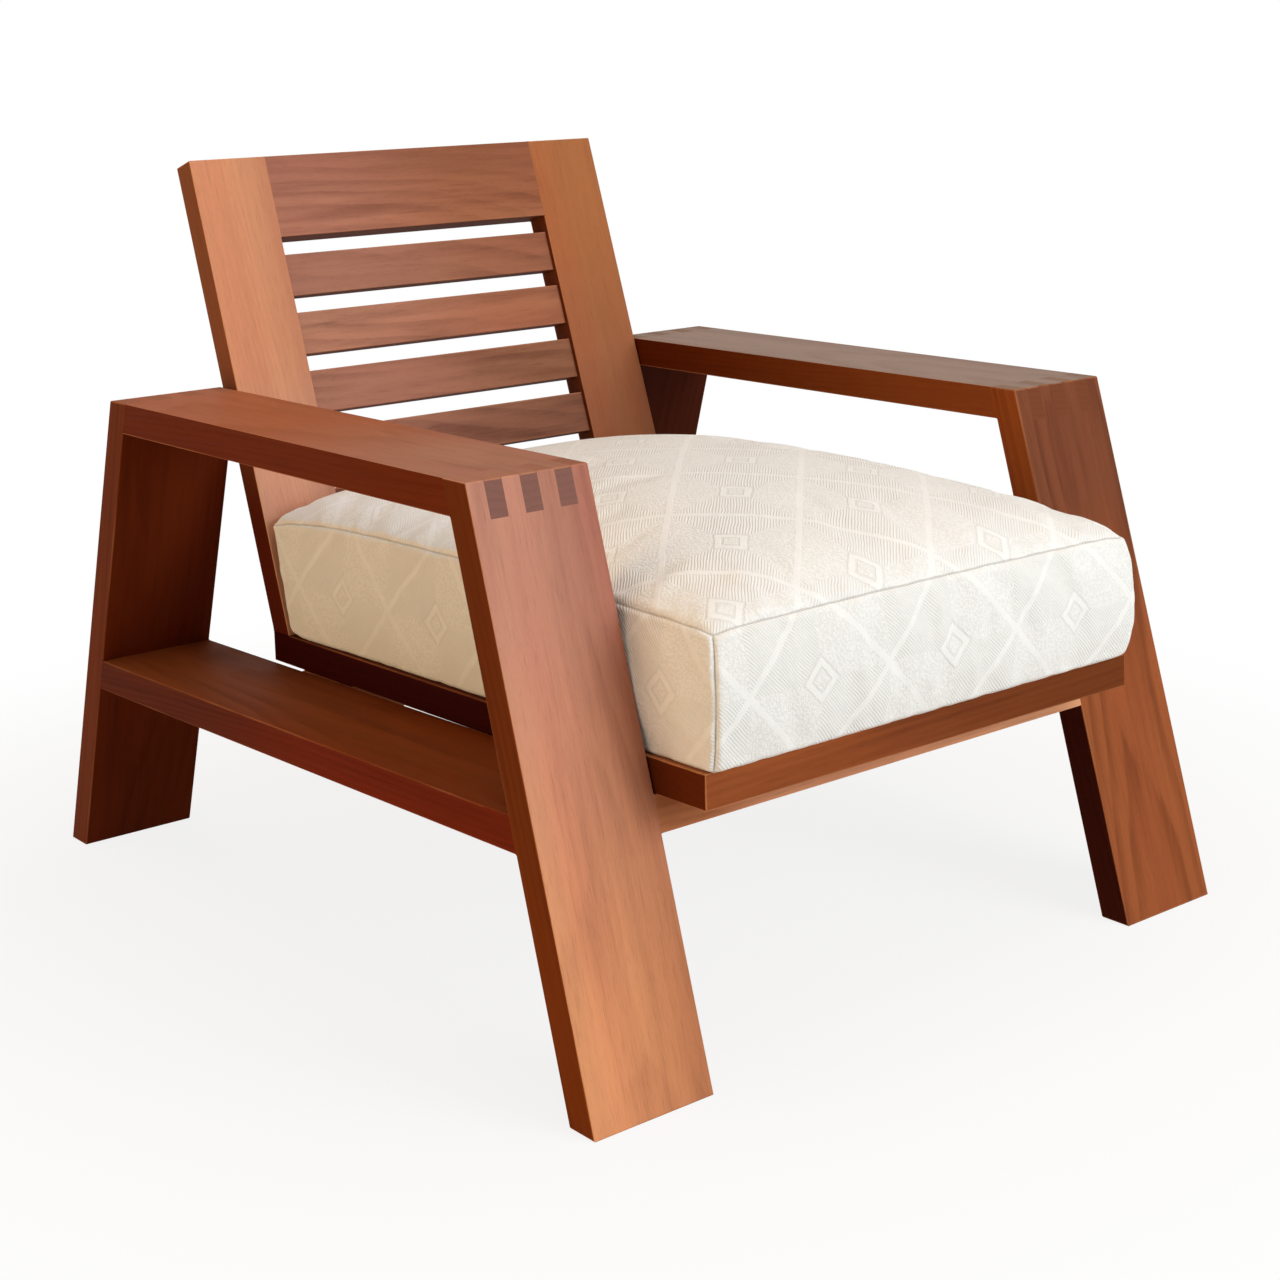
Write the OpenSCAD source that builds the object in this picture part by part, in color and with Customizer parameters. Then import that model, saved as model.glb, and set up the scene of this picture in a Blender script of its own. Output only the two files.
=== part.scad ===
// Slatted timber lounge chair: two ribbon side frames of wide boards, a seat frame that carries a
// slatted back, and a loose boxed seat cushion whose cover closes with a zip.
// X runs across the chair, the front faces -Y, +Z is up. The origin is on the floor, midway
// between the front edge of the front feet and the rear edge of the rear feet.

/* [Boards] */
// Width of the boards in the side frames
board_w = 127; // [110:1:140]
// Thickness of the boards
board_t = 31.5; // [28:0.5:34]

/* [Side frames] */
// Width over both side frames
overall_w = 794; // [760:1:840]
// Depth at the floor, from the front feet's front edge to the rear feet's rear edge
overall_d = 923; // [900:1:950]
// Height of the arm's top face at its front edge
arm_h = 513.5; // [490:0.5:540]
// Fall of the arm towards the rear, in degrees
arm_fall = 0.8; // [0:0.1:1.5]
// Lean of the front leg, in degrees from upright
front_rake = 16.9; // [14:0.1:19]
// Lean of the rear leg, in degrees from upright
rear_rake = 15.95; // [13:0.05:18]
// Height of the side shelf's top face at mid depth
shelf_h = 232.7; // [220:0.1:245]
// Fall of the side shelf towards the rear, in degrees
shelf_fall = 1.9; // [1:0.1:3]
// Number of fingers in each corner joint, arm and leg together
finger_n = 7; // [5:2:9]

/* [Seat frame] */
// Clear gap between the seat frame and the side frame, on each side
seat_clear = 2; // [1:0.5:6]
// Length of the seat frame from front to rear
seat_len = 682.5; // [660:0.5:700]
// Distance of the seat frame's front edge ahead of the origin
seat_front = 452.2; // [440:0.1:455]
// Height of the seat frame's underside at mid depth
seat_h = 231.7; // [225:0.1:238]
// Fall of the seat towards the rear, in degrees
seat_fall = 1.4; // [1:0.1:3]

/* [Back] */
// Length of the back along its rear face
back_len = 500; // [470:1:520]
// Thickness of the back frame
back_t = 29.3; // [27:0.1:31.5]
// Recline of the back, in degrees from upright
back_recline = 19.1; // [15:0.1:24]
// Width of the stiles, and of the seat frame's side rails
stile_w = 91; // [80:1:100]
// Height of the back's top rail
top_rail_h = 90; // [80:1:100]
// Height of a slat
slat_h = 46; // [40:0.5:48]
// Clear gap between two slats of the back
slat_gap = 18.3; // [14:0.1:20]
// Thickness of a slat
slat_t = 18; // [14:0.5:20]

/* [Cushion] */
// How far the cushion's top seam lies inside the seat frame's side
cushion_inset = 6.5; // [6:0.5:20]
// How far the cushion's front seams stand ahead of the seat frame
cushion_overhang = 5.5; // [0:0.5:8]
// Height of the boxing between the two seams
boxing_h = 126; // [100:1:135]
// Rise of the crown above its shoulder
crown_h = 54; // [20:1:60]
// Rise of the crown's shoulder, close inside the top seam
shoulder_h = 12; // [4:1:14]
// How far the sides bulge out past their seams
side_swell = 5; // [2:0.5:5]
// How far the front bulges out past its seams
front_swell = 9; // [4:0.5:10]
// How far the bottom seam lies outside the top seam
foot_spread = 2.5; // [0:0.5:2.5]
// How much wider the cushion is at the rear, on each side
rear_spread = 4.5; // [0:0.5:4.5]
// How far the top seam dips along the front
front_dip = 5.5; // [0:0.5:10]
// How much further the top seam is drawn down at the front corners
corner_drop = 3; // [0:0.5:8]
// How far the top seam is drawn down at the rear corners
rear_drop = 15; // [8:1:16]
// Thickness of the cover cloth
cloth_t = 1.5; // [1:0.1:2]
// Length of the zip in the rear boxing
zip_len = 400; // [300:10:400]

/* [Hidden] */
$fn = 32;

teak = [0.56, 0.30, 0.17];
teak_dark = [0.42, 0.20, 0.11];
cloth = [0.88, 0.85, 0.79];
foam = [0.93, 0.90, 0.78];
steel = [0.70, 0.70, 0.68];

// Gap left in a glued mortise on each side, and at its bottom
glue_gap = 0.1;
glue_end = 1;
// Overshoot of a cutter past the face that it opens
past = 10;

half_w = overall_w / 2;
inner_w = half_w - board_w;
seat_w = 2 * (inner_w - seat_clear);
finger_w = board_w / finger_n;

// Side profile, as [y, z] points and directions
function cut_point(p, d, q, e) = p + d * cross(q - p, e) / cross(d, e);
front_foot = [-overall_d / 2, 0];
rear_foot = [overall_d / 2, 0];
front_up = [sin(front_rake), cos(front_rake)];
rear_up = [-sin(rear_rake), cos(rear_rake)];
front_in = [cos(front_rake), -sin(front_rake)] * board_t;
rear_in = [-cos(rear_rake), -sin(rear_rake)] * board_t;
arm_run = [cos(arm_fall), -sin(arm_fall)];
arm_down = [-sin(arm_fall), -cos(arm_fall)] * board_t;
floor_run = [1, 0];
arm_front = front_foot + front_up * (arm_h / cos(front_rake));
arm_rear = cut_point(arm_front, arm_run, rear_foot, rear_up);
front_heel = cut_point(front_foot + front_in, front_up, front_foot, floor_run);
rear_heel = cut_point(rear_foot + rear_in, rear_up, rear_foot, floor_run);
front_under = cut_point(front_foot + front_in, front_up, arm_front + arm_down, arm_run);
rear_under = cut_point(rear_foot + rear_in, rear_up, arm_front + arm_down, arm_run);
front_head = cut_point(front_foot + front_in, front_up, arm_front, arm_run);
rear_head = cut_point(rear_foot + rear_in, rear_up, arm_front, arm_run);
arm_nose = cut_point(front_foot, front_up, arm_front + arm_down, arm_run);
arm_tail = cut_point(rear_foot, rear_up, arm_front + arm_down, arm_run);

shelf_run = [cos(shelf_fall), -sin(shelf_fall)];
shelf_up = [sin(shelf_fall), cos(shelf_fall)];
shelf_mid = [0, shelf_h];
shelf_low = shelf_mid - shelf_up * board_t;
shelf_tenon_l = 15;
shelf_tenon_t = 12;
shelf_tenon_w = board_w - 40;

seat_run = [cos(seat_fall), -sin(seat_fall)];
seat_up = [sin(seat_fall), cos(seat_fall)];
seat_mid = [0, seat_h];
stretcher_d = 75;
stretcher_tenon = [20, 14, 20];
rear_stretcher_y = 82;
rear_stretcher_d = 90;
dowel_r = 5;
dowel_l = 40;

deck_n = 7;
back_n = 5;
seat_rear = seat_len - seat_front;
rail_d = 91;
tenon_l = 30;
tenon_t = 11;
tenon_w = 60;
housing = 10;
deck_bay = seat_len - 2 * rail_d;
deck_gap = (deck_bay - deck_n * slat_h) / (deck_n + 1);
inner_rail = seat_w / 2 - stile_w;
back_lean = back_recline - seat_fall;
slat_pitch = slat_h + slat_gap;
bottom_rail_top = back_len - top_rail_h - slat_gap - back_n * slat_pitch;
bottom_rail_h = bottom_rail_top - 4;
stile_tenon = [40, 11, 22];
stile_tenon_in = 14;

screw_l = 52;
screw_r = 2.5;
screw_head_r = 5;
screw_head_h = 3;

cushion_gap = 0.3;
cushion_half_w = seat_w / 2 - cushion_inset;
cushion_front = seat_front + cushion_overhang;
cushion_rear_low = seat_rear - back_t / cos(back_lean) - 1.5;
cushion_rear_high = cushion_rear_low + 29;
side_n = 14;
rim_n = 4 * side_n;
boxing_rows = 5;
crown_rings = 8;
corner_power = 80;
rear_corner_power = 300;
crown_power = 2.4;
shoulder_power = 15;
drop_power = 20;
core_gap = 0.2;

zip_tape_h = 24;
zip_tape_t = 0.6;
zip_stand = 0.25;
zip_teeth_h = 5.5;
zip_teeth_t = 1.6;
zip_run = zip_len - 30;
slider_body = [10, 1.3, 11];
slider_flange = 0.9;
slider_air = 0.25;
slider_start = 6;
pull_tab = [5, 1, 24];
pull_drop = 16;

// Placing

module on_seat() {
    translate([0, 0, seat_h]) rotate([-seat_fall, 0, 0]) children();
}

module on_back() {
    on_seat() translate([0, seat_rear, board_t]) rotate([-back_lean, 0, 0]) children();
}

module on_cushion() {
    on_seat() translate([0, 0, board_t + cushion_gap]) children();
}

// A [y, z] outline drawn out along X from x0 to x1
module slab(points, x0, x1) {
    translate([x0, 0, 0]) rotate([90, 0, 90]) linear_extrude(x1 - x0) polygon(points);
}

// The right side is the left side seen in a mirror
module right_of() {
    mirror([1, 0, 0]) children();
}

// Side frames, drawn for the left side

module fingers(points, first) {
    for (i = [first : 2 : finger_n - 1])
        slab(points, -half_w + i * finger_w - (i == 0 ? 1 : 0),
            -half_w + (i + 1) * finger_w + (i == finger_n - 1 ? 1 : 0));
}

// Region ahead of the front leg's rear face, at the arm's height
function ahead_of_front() = [
    front_under - front_up * past, front_head + front_up * past,
    front_head + front_up * past - front_in * 2, front_under - front_up * past - front_in * 2];

// Region behind the rear leg's front face, at the arm's height
function behind_rear() = [
    rear_under - rear_up * past, rear_under - rear_up * past - rear_in * 2,
    rear_head + rear_up * past - rear_in * 2, rear_head + rear_up * past];

// Region above the arm's underside, over one leg
function above_under(a, b) = [
    a - arm_run * past, b + arm_run * past,
    b + arm_run * past - arm_down * 2, a - arm_run * past - arm_down * 2];

module shelf_tenon(at, gap = 0) {
    run = shelf_tenon_l + (gap > 0 ? glue_end : 0);
    low = at - shelf_up * (board_t / 2 + shelf_tenon_t / 2 + gap);
    high = at - shelf_up * (board_t / 2 - shelf_tenon_t / 2 - gap);
    mid = -half_w + board_w / 2;
    reach = shelf_tenon_w / 2 + gap;
    slab([low - shelf_run * run, low + shelf_run * run, high + shelf_run * run, high - shelf_run * run],
        mid - reach, mid + reach);
}

shelf_front = cut_point(front_foot + front_in, front_up, shelf_mid, shelf_run);
shelf_rear = cut_point(rear_foot + rear_in, rear_up, shelf_mid, shelf_run);

module arm() {
    color(teak) difference() {
        slab([arm_front, arm_rear, arm_tail, arm_nose], -half_w, -inner_w);
        fingers(ahead_of_front(), 0);
        fingers(behind_rear(), 0);
    }
}

module front_leg() {
    color(teak) difference() {
        slab([front_foot, front_heel, front_head, arm_front], -half_w, -inner_w);
        fingers(above_under(arm_nose, front_under), 1);
        shelf_tenon(shelf_front, glue_gap);
        stretcher_tenon_at(glue_gap);
    }
}

module rear_leg() {
    color(teak) difference() {
        slab([rear_heel, rear_foot, arm_rear, rear_head], -half_w, -inner_w);
        fingers(above_under(rear_under, arm_tail), 1);
        shelf_tenon(shelf_rear, glue_gap);
    }
}

module side_shelf() {
    shelf_front_low = cut_point(front_foot + front_in, front_up, shelf_low, shelf_run);
    shelf_rear_low = cut_point(rear_foot + rear_in, rear_up, shelf_low, shelf_run);
    color(teak) difference() {
        union() {
            slab([shelf_front_low, shelf_rear_low, shelf_rear, shelf_front], -half_w, -inner_w);
            shelf_tenon(shelf_front);
            shelf_tenon(shelf_rear);
        }
        dowel_pair(dowel_r + glue_gap, dowel_l + 2 * glue_end);
    }
}

// Cross stretchers under the seat frame

function stretcher_section() =
    let (low = seat_mid - seat_up * board_t,
         top_edge = cut_point(front_foot, front_up, seat_mid, seat_run),
         low_edge = cut_point(front_foot, front_up, low, seat_run))
    [low_edge, low_edge + seat_run * stretcher_d, top_edge + seat_run * stretcher_d, top_edge];

module stretcher_tenon_at(gap = 0) {
    section = stretcher_section();
    centre = (section[0] + section[3]) / 2 + front_in / 2;
    reach = stretcher_tenon.x + (gap > 0 ? glue_end : 0);
    thick = stretcher_tenon.y + 2 * gap;
    tall = stretcher_tenon.z + 2 * gap;
    translate([-inner_w - reach, centre.x - thick / 2, centre.y - tall / 2]) cube([2 * reach, thick, tall]);
}

module front_stretcher() {
    color(teak) difference() {
        union() {
            slab(stretcher_section(), -inner_w, inner_w);
            stretcher_tenon_at();
            right_of() stretcher_tenon_at();
        }
        screw_holes();
    }
}

module dowel_pair(r, l) {
    for (y = [rear_stretcher_d / 4, 3 * rear_stretcher_d / 4])
        on_seat() translate([-inner_w - l / 2, rear_stretcher_y + y, -board_t / 2]) rotate([0, 90, 0])
            cylinder(r = r, h = l);
}

module rear_stretcher() {
    color(teak) difference() {
        on_seat() translate([-inner_w, rear_stretcher_y, -board_t])
            cube([2 * inner_w, rear_stretcher_d, board_t]);
        dowel_pair(dowel_r + glue_gap, dowel_l + 2 * glue_end);
        right_of() dowel_pair(dowel_r + glue_gap, dowel_l + 2 * glue_end);
        screw_holes();
    }
}

module stretcher_dowels() {
    color(teak_dark) {
        dowel_pair(dowel_r, dowel_l);
        right_of() dowel_pair(dowel_r, dowel_l);
    }
}

// Seat screws: up through the stretchers into the front rail and the side rails

screw_places = [[-180, -380], [180, -380], [-222, 110], [222, 110]];

module screw(r, head_r, head_h, l) {
    cylinder(r1 = head_r, r2 = r, h = head_h, $fn = 24);
    cylinder(r = r, h = l, $fn = 24);
}

module screw_holes() {
    for (p = screw_places)
        on_seat() translate([p.x, p.y, -board_t])
            screw(screw_r + glue_gap, screw_head_r + glue_gap, screw_head_h, screw_l + glue_end);
}

module seat_screws() {
    color(steel) for (p = screw_places)
        on_seat() translate([p.x, p.y, -board_t]) screw(screw_r, screw_head_r, screw_head_h, screw_l);
}

// Seat frame, in its own plane

// Tenon that runs along Y from a side rail into the front rail
module rail_tenon(gap = 0) {
    end = gap > 0 ? glue_end : 0;
    translate([-seat_w / 2 + stile_w / 2 - tenon_w / 2 - gap, -seat_front + rail_d - tenon_l - end,
        board_t / 2 - tenon_t / 2 - gap])
        cube([tenon_w + 2 * gap, tenon_l + end + past, tenon_t + 2 * gap]);
}

// Tenon that runs along X from the rear rail into a side rail
module rear_rail_tenon(gap = 0) {
    end = gap > 0 ? glue_end : 0;
    translate([-inner_rail - tenon_l - end, seat_rear - rail_d / 2 - tenon_w / 2 - gap,
        board_t / 2 - tenon_t / 2 - gap])
        cube([tenon_l + end + past, tenon_w + 2 * gap, tenon_t + 2 * gap]);
}

function deck_y(i) = -seat_front + rail_d + deck_gap + (i - 1) * (slat_h + deck_gap);

module deck_slat(i, gap = 0) {
    end = gap > 0 ? glue_end : 0;
    reach = inner_rail + housing + end;
    translate([-reach, deck_y(i) - gap, board_t / 2 - slat_t / 2 - gap])
        cube([2 * reach, slat_h + 2 * gap, slat_t + 2 * gap]);
}

// Tenon at the foot of a stile, in the back's own frame. It stays clear of the rear rail's tenon
module foot_tenon(gap = 0) {
    end = gap > 0 ? glue_end : 0;
    translate([-seat_w / 2 + stile_tenon_in - gap, -back_t / 2 - stile_tenon.y / 2 - gap,
        -stile_tenon.z - end])
        cube([stile_tenon.x + 2 * gap, stile_tenon.y + 2 * gap, stile_tenon.z + end + past]);
}

module seat_front_rail() {
    color(teak) difference() {
        on_seat() difference() {
            translate([-seat_w / 2, -seat_front, 0]) cube([seat_w, rail_d, board_t]);
            rail_tenon(glue_gap);
            right_of() rail_tenon(glue_gap);
        }
        screw_holes();
    }
}

module seat_rear_rail() {
    color(teak) on_seat() {
        translate([-inner_rail, seat_rear - rail_d, 0]) cube([2 * inner_rail, rail_d, board_t]);
        rear_rail_tenon();
        right_of() rear_rail_tenon();
    }
}

module seat_side_rail() {
    color(teak) difference() {
        on_seat() difference() {
            union() {
                translate([-seat_w / 2, -seat_front + rail_d, 0]) cube([stile_w, seat_len - rail_d, board_t]);
                rail_tenon();
            }
            rear_rail_tenon(glue_gap);
            for (i = [1 : deck_n]) deck_slat(i, glue_gap);
        }
        on_back() foot_tenon(glue_gap);
        screw_holes();
    }
}

module seat_slat(i) {
    color(teak_dark) on_seat() deck_slat(i);
}

// Back, in its own frame: z up along the stiles, y through its thickness, rear face at y = 0

module back_rail_tenon(z, h, gap = 0) {
    end = gap > 0 ? glue_end : 0;
    tall = min(tenon_w, h - 24);
    translate([-inner_rail - tenon_l - end, -back_t / 2 - tenon_t / 2 - gap, z + h / 2 - tall / 2 - gap])
        cube([tenon_l + end + past, tenon_t + 2 * gap, tall + 2 * gap]);
}

function back_slat_z(i) = back_len - top_rail_h - i * slat_pitch;

module back_slat_bar(i, gap = 0) {
    end = gap > 0 ? glue_end : 0;
    reach = inner_rail + housing + end;
    translate([-reach, -back_t / 2 - slat_t / 2 - gap, back_slat_z(i) - gap])
        cube([2 * reach, slat_t + 2 * gap, slat_h + 2 * gap]);
}

module back_stile() {
    foot_step = back_t * tan(back_lean);
    color(teak) on_back() difference() {
        union() {
            slab([[0, 0], [0, back_len], [-back_t, back_len], [-back_t, -foot_step]],
                -seat_w / 2, -inner_rail);
            foot_tenon();
        }
        back_rail_tenon(back_len - top_rail_h, top_rail_h, glue_gap);
        back_rail_tenon(bottom_rail_top - bottom_rail_h, bottom_rail_h, glue_gap);
        for (i = [1 : back_n]) back_slat_bar(i, glue_gap);
    }
}

module back_rail(z, h) {
    color(teak) on_back() {
        translate([-inner_rail, -back_t, z]) cube([2 * inner_rail, back_t, h]);
        back_rail_tenon(z, h);
        right_of() back_rail_tenon(z, h);
    }
}

module back_slat(i) {
    color(teak_dark) on_back() back_slat_bar(i);
}

// Cushion. Its rim is a rounded rectangle with points close together at the corners

function side_of(i) = floor(i / side_n) % 4;
function along(i) = sin(90 * (2 * (i % side_n) / side_n - 1));
function square_rim(i) =
    let (s = along(i), q = side_of(i))
    q == 0 ? [s, -1] : q == 1 ? [1, s] : q == 2 ? [-s, 1] : [-1, -s];
function round_rim(i) =
    let (p = square_rim(i), power = p.y > 0 ? rear_corner_power : corner_power)
    p * pow(pow(abs(p.x), power) + pow(abs(p.y), power), -1 / power);
function bulge(t) = 1 - pow(abs(2 * t - 1), 4);
function rear_y(t) = cushion_rear_low + t * (cushion_rear_high - cushion_rear_low);
function front_y(t) = cushion_front + front_swell * bulge(t);
function side_x(t, y) =
    cushion_half_w + foot_spread * (1 - t) + rear_spread * pow(max(0, y), 4)
    + side_swell * bulge(t) * (1 - pow(max(0, y), 6));
function seam_z(i) =
    let (p = square_rim(i), q = side_of(i))
    q == 0 ? boxing_h - front_dip - corner_drop * pow(p.x, 4)
    : q == 2 ? boxing_h - rear_drop * pow(p.x, 12)
    : boxing_h - (front_dip + corner_drop) * pow(max(0, -p.y), 2) - rear_drop * pow(max(0, p.y), 5);

// A point of the side wall: t runs from 0 at the bottom seam to 1 at the top seam
function wall_point(i, t, inset) =
    let (p = round_rim(i), mid = (rear_y(t) - front_y(t)) / 2, half = (rear_y(t) + front_y(t)) / 2)
    [p.x * (side_x(t, square_rim(i).y) - inset), mid + p.y * (half - inset),
        inset + t * (seam_z(i) - 2 * inset)];

// A point of the crown: r runs from 1 at the top seam to 0 at the middle
function dome(p, power) = (1 - pow(abs(p.x), power)) * (1 - pow(abs(p.y), power));
function crown_rise(i, r) =
    let (p = square_rim(i) * r)
    crown_h * dome(p, crown_power) + shoulder_h * dome(p, shoulder_power);
function crown_point(i, r, inset) =
    let (edge = wall_point(i, 1, inset), mid = (rear_y(1) - front_y(1)) / 2, top = boxing_h - inset)
    [edge.x * r, mid + (edge.y - mid) * r, top + (edge.z - top) * pow(r, drop_power) + crown_rise(i, r)];

function ring_r(k) = cos(90 * k / crown_rings);
function wall_rows(inset) =
    [for (j = [0 : boxing_rows]) for (i = [0 : rim_n - 1]) wall_point(i, j / boxing_rows, inset)];
function crown_rows(inset) =
    [for (k = [1 : crown_rings - 1]) for (i = [0 : rim_n - 1]) crown_point(i, ring_r(k), inset)];

// Triangles between two rings of points that start at a and b, facing away from the ring's axis
function band(a, b) =
    [for (i = [0 : rim_n - 1]) let (n = (i + 1) % rim_n) each [
        [a + i, b + i, b + n],
        [a + i, b + n, a + n]]];
function cap_up(a, tip) = [for (i = [0 : rim_n - 1]) [a + i, tip, a + (i + 1) % rim_n]];
function cap_down(a, tip) = [for (i = [0 : rim_n - 1]) [a + i, a + (i + 1) % rim_n, tip]];
function flipped(faces) = [for (f = faces) [f[0], f[2], f[1]]];

module cushion_core() {
    inset = cloth_t + core_gap;
    points = concat(wall_rows(inset), crown_rows(inset),
        [crown_point(0, 0, inset), [0, (rear_y(0) - front_y(0)) / 2, inset]]);
    rows = boxing_rows + crown_rings;
    faces = concat([for (j = [0 : rows - 2]) each band(j * rim_n, (j + 1) * rim_n)],
        cap_up((rows - 1) * rim_n, rows * rim_n), cap_down(0, rows * rim_n + 1));
    color(foam) on_cushion() polyhedron(points, faces, convexity = 4);
}

module cushion_top_panel() {
    function skin(inset) = concat([for (i = [0 : rim_n - 1]) crown_point(i, 1, inset)],
        crown_rows(inset), [crown_point(0, 0, inset)]);
    function shell(a) = concat(
        [for (j = [0 : crown_rings - 2]) each band(a + j * rim_n, a + (j + 1) * rim_n)],
        cap_up(a + (crown_rings - 1) * rim_n, a + crown_rings * rim_n));
    under = crown_rings * rim_n + 1;
    color(cloth) on_cushion()
        polyhedron(concat(skin(0), skin(cloth_t)), concat(shell(0), flipped(shell(under)), band(under, 0)),
            convexity = 4);
}

module cushion_boxing() {
    inner = (boxing_rows + 1) * rim_n;
    function wall(a) = [for (j = [0 : boxing_rows - 1]) each band(a + j * rim_n, a + (j + 1) * rim_n)];
    outer_rows = [for (j = [0 : boxing_rows]) for (i = [0 : rim_n - 1])
        let (p = wall_point(i, j / boxing_rows, 0), q = wall_point(i, j / boxing_rows, cloth_t))
        [p.x, p.y, q.z]];
    color(cloth) on_cushion() polyhedron(concat(outer_rows, wall_rows(cloth_t)),
        concat(wall(0), flipped(wall(inner)), band(boxing_rows * rim_n, inner + boxing_rows * rim_n),
            band(inner, 0)), convexity = 4);
}

module cushion_bottom_panel() {
    rim = [for (i = [0 : rim_n - 1]) let (p = wall_point(i, 0, 0)) [p.x, p.y]];
    color(cloth) on_cushion() linear_extrude(cloth_t) polygon(rim);
}

// Zip, on the rear boxing: x along the zip, y out of the cloth, z up the boxing. The tape stands
// just off the cloth, which swells out a little towards the corners

module on_rear_boxing() {
    lean = atan((cushion_rear_high - cushion_rear_low) / boxing_h);
    on_cushion() translate([0, rear_y(0.5) + zip_stand, boxing_h / 2]) rotate([-lean, 0, 0]) children();
}

module zip_chain() {
    color(steel) on_rear_boxing() {
        translate([-zip_len / 2, 0, -zip_tape_h / 2]) cube([zip_len, zip_tape_t, zip_tape_h]);
        translate([-zip_run / 2, zip_tape_t, -zip_teeth_h / 2]) cube([zip_run, zip_teeth_t, zip_teeth_h]);
    }
}

// The slider straddles the teeth, and its pull tab hangs from its face
module zip_slider() {
    face = zip_tape_t + zip_teeth_t + slider_air;
    lip = zip_tape_t + slider_air;
    color(steel) on_rear_boxing() translate([slider_start - zip_run / 2, 0, 0]) {
        translate([-slider_body.x / 2, face, -slider_body.z / 2]) cube(slider_body);
        for (z = [-slider_body.z / 2, slider_body.z / 2 - slider_flange])
            translate([-slider_body.x / 2, lip, z])
                cube([slider_body.x, face - lip + slider_body.y / 2, slider_flange]);
        translate([-pull_tab.x / 2, face + slider_body.y / 2, -slider_body.z / 2 - pull_drop]) cube(pull_tab);
    }
}

arm();  // left_arm
right_of() arm();  // right_arm
front_leg();  // left_front_leg
right_of() front_leg();  // right_front_leg
rear_leg();  // left_rear_leg
right_of() rear_leg();  // right_rear_leg
side_shelf();  // left_side_shelf
right_of() side_shelf();  // right_side_shelf
front_stretcher();
rear_stretcher();
stretcher_dowels();
seat_front_rail();
seat_rear_rail();
seat_side_rail();  // left_seat_rail
right_of() seat_side_rail();  // right_seat_rail
for (i = [1 : deck_n])
    seat_slat(i);
seat_screws();
back_stile();  // left_back_stile
right_of() back_stile();  // right_back_stile
back_rail(back_len - top_rail_h, top_rail_h);  // back_top_rail
back_rail(bottom_rail_top - bottom_rail_h, bottom_rail_h);  // back_bottom_rail
for (i = [1 : back_n])
    back_slat(i);
cushion_core();
cushion_top_panel();
cushion_boxing();
cushion_bottom_panel();
zip_chain();
zip_slider();
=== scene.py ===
from functools import partial
from math import atan2, ceil, cos, pi, radians, sin

import bmesh
import bpy
import numpy as np
from mathutils import Matrix, Vector, noise
from mathutils.bvhtree import BVHTree


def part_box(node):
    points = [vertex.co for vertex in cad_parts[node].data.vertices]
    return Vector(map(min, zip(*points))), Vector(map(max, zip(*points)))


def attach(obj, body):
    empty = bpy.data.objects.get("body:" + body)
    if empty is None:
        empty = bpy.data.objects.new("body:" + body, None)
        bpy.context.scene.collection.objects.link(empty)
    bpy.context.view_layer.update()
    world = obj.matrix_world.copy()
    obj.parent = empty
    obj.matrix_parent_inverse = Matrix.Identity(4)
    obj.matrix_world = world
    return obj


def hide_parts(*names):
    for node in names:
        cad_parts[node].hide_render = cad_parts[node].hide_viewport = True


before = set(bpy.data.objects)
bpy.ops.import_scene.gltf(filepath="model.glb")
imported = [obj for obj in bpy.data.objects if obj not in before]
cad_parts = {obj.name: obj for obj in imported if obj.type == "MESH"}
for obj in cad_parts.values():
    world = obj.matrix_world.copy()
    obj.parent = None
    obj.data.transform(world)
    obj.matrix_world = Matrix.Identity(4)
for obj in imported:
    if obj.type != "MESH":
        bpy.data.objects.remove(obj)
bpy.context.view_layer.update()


# Camera. A long lens held at waist height off the chair's front left corner, tipped a little
# down. The sensor is shifted so that the chair sits in the middle of a square picture.
eye = Vector((-1.4588, -1.8183, 0.8925))
turn, tilt, lean = radians(39.497), radians(-9.621), radians(-0.73)
ahead = Vector((sin(turn) * cos(tilt), cos(turn) * cos(tilt), sin(tilt)))
level = Vector((cos(turn), -sin(turn), 0))
over = level.cross(ahead)
right = cos(lean) * level + sin(lean) * over
upward = cos(lean) * over - sin(lean) * level

lens = bpy.data.cameras.new("portrait_lens")
lens.sensor_width = 36
lens.lens = 65.145
lens.shift_y = -0.1875
lens.clip_end = 100
camera = bpy.data.objects.new("camera", lens)
camera.matrix_world = Matrix.Translation(eye) @ Matrix((right, upward, -ahead)).transposed().to_4x4()
bpy.context.scene.collection.objects.link(camera)
bpy.context.scene.camera = camera
bpy.context.scene.view_settings.view_transform = "Standard"


# Studio. A white sweep, a large soft window light from the front right, weaker warm lights from
# above and from the left, and a faint fill. The floor is drawn white for the camera and keeps a
# soft trace of the chair's shadow.
def paint(red, green, blue):
    """A colour given as it looks on a screen, 0 to 255, in the linear form that shaders take."""
    def line(c):
        c /= 255
        return c / 12.92 if c <= 0.04045 else ((c + 0.055) / 1.055) ** 2.4
    return (line(red), line(green), line(blue), 1)


def place_node(tree, kind, inputs=None, **settings):
    """One node, with its settings, and its inputs given as values or as sockets to link from. A kind
    with no Node in its name is a shader node's."""
    made = tree.nodes.new(kind if "Node" in kind else "ShaderNode" + kind)
    for name, value in settings.items():
        setattr(made, name, value)
    for name, value in (inputs or {}).items():
        if isinstance(value, bpy.types.NodeSocket):
            tree.links.new(value, made.inputs[name])
        else:
            made.inputs[name].default_value = value
    return made


def calc(tree, operation, *values, clamp=False):
    """A Math node's result."""
    return place_node(tree, "Math", dict(enumerate(values)), operation=operation, use_clamp=clamp).outputs[0]


def calc_vector(tree, operation, *values):
    """A Vector Math node's result, where that is a vector."""
    return place_node(tree, "VectorMath", dict(enumerate(values)), operation=operation).outputs[0]


def split(tree, vector):
    """A vector's three parts."""
    return place_node(tree, "SeparateXYZ", {0: vector}).outputs


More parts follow.
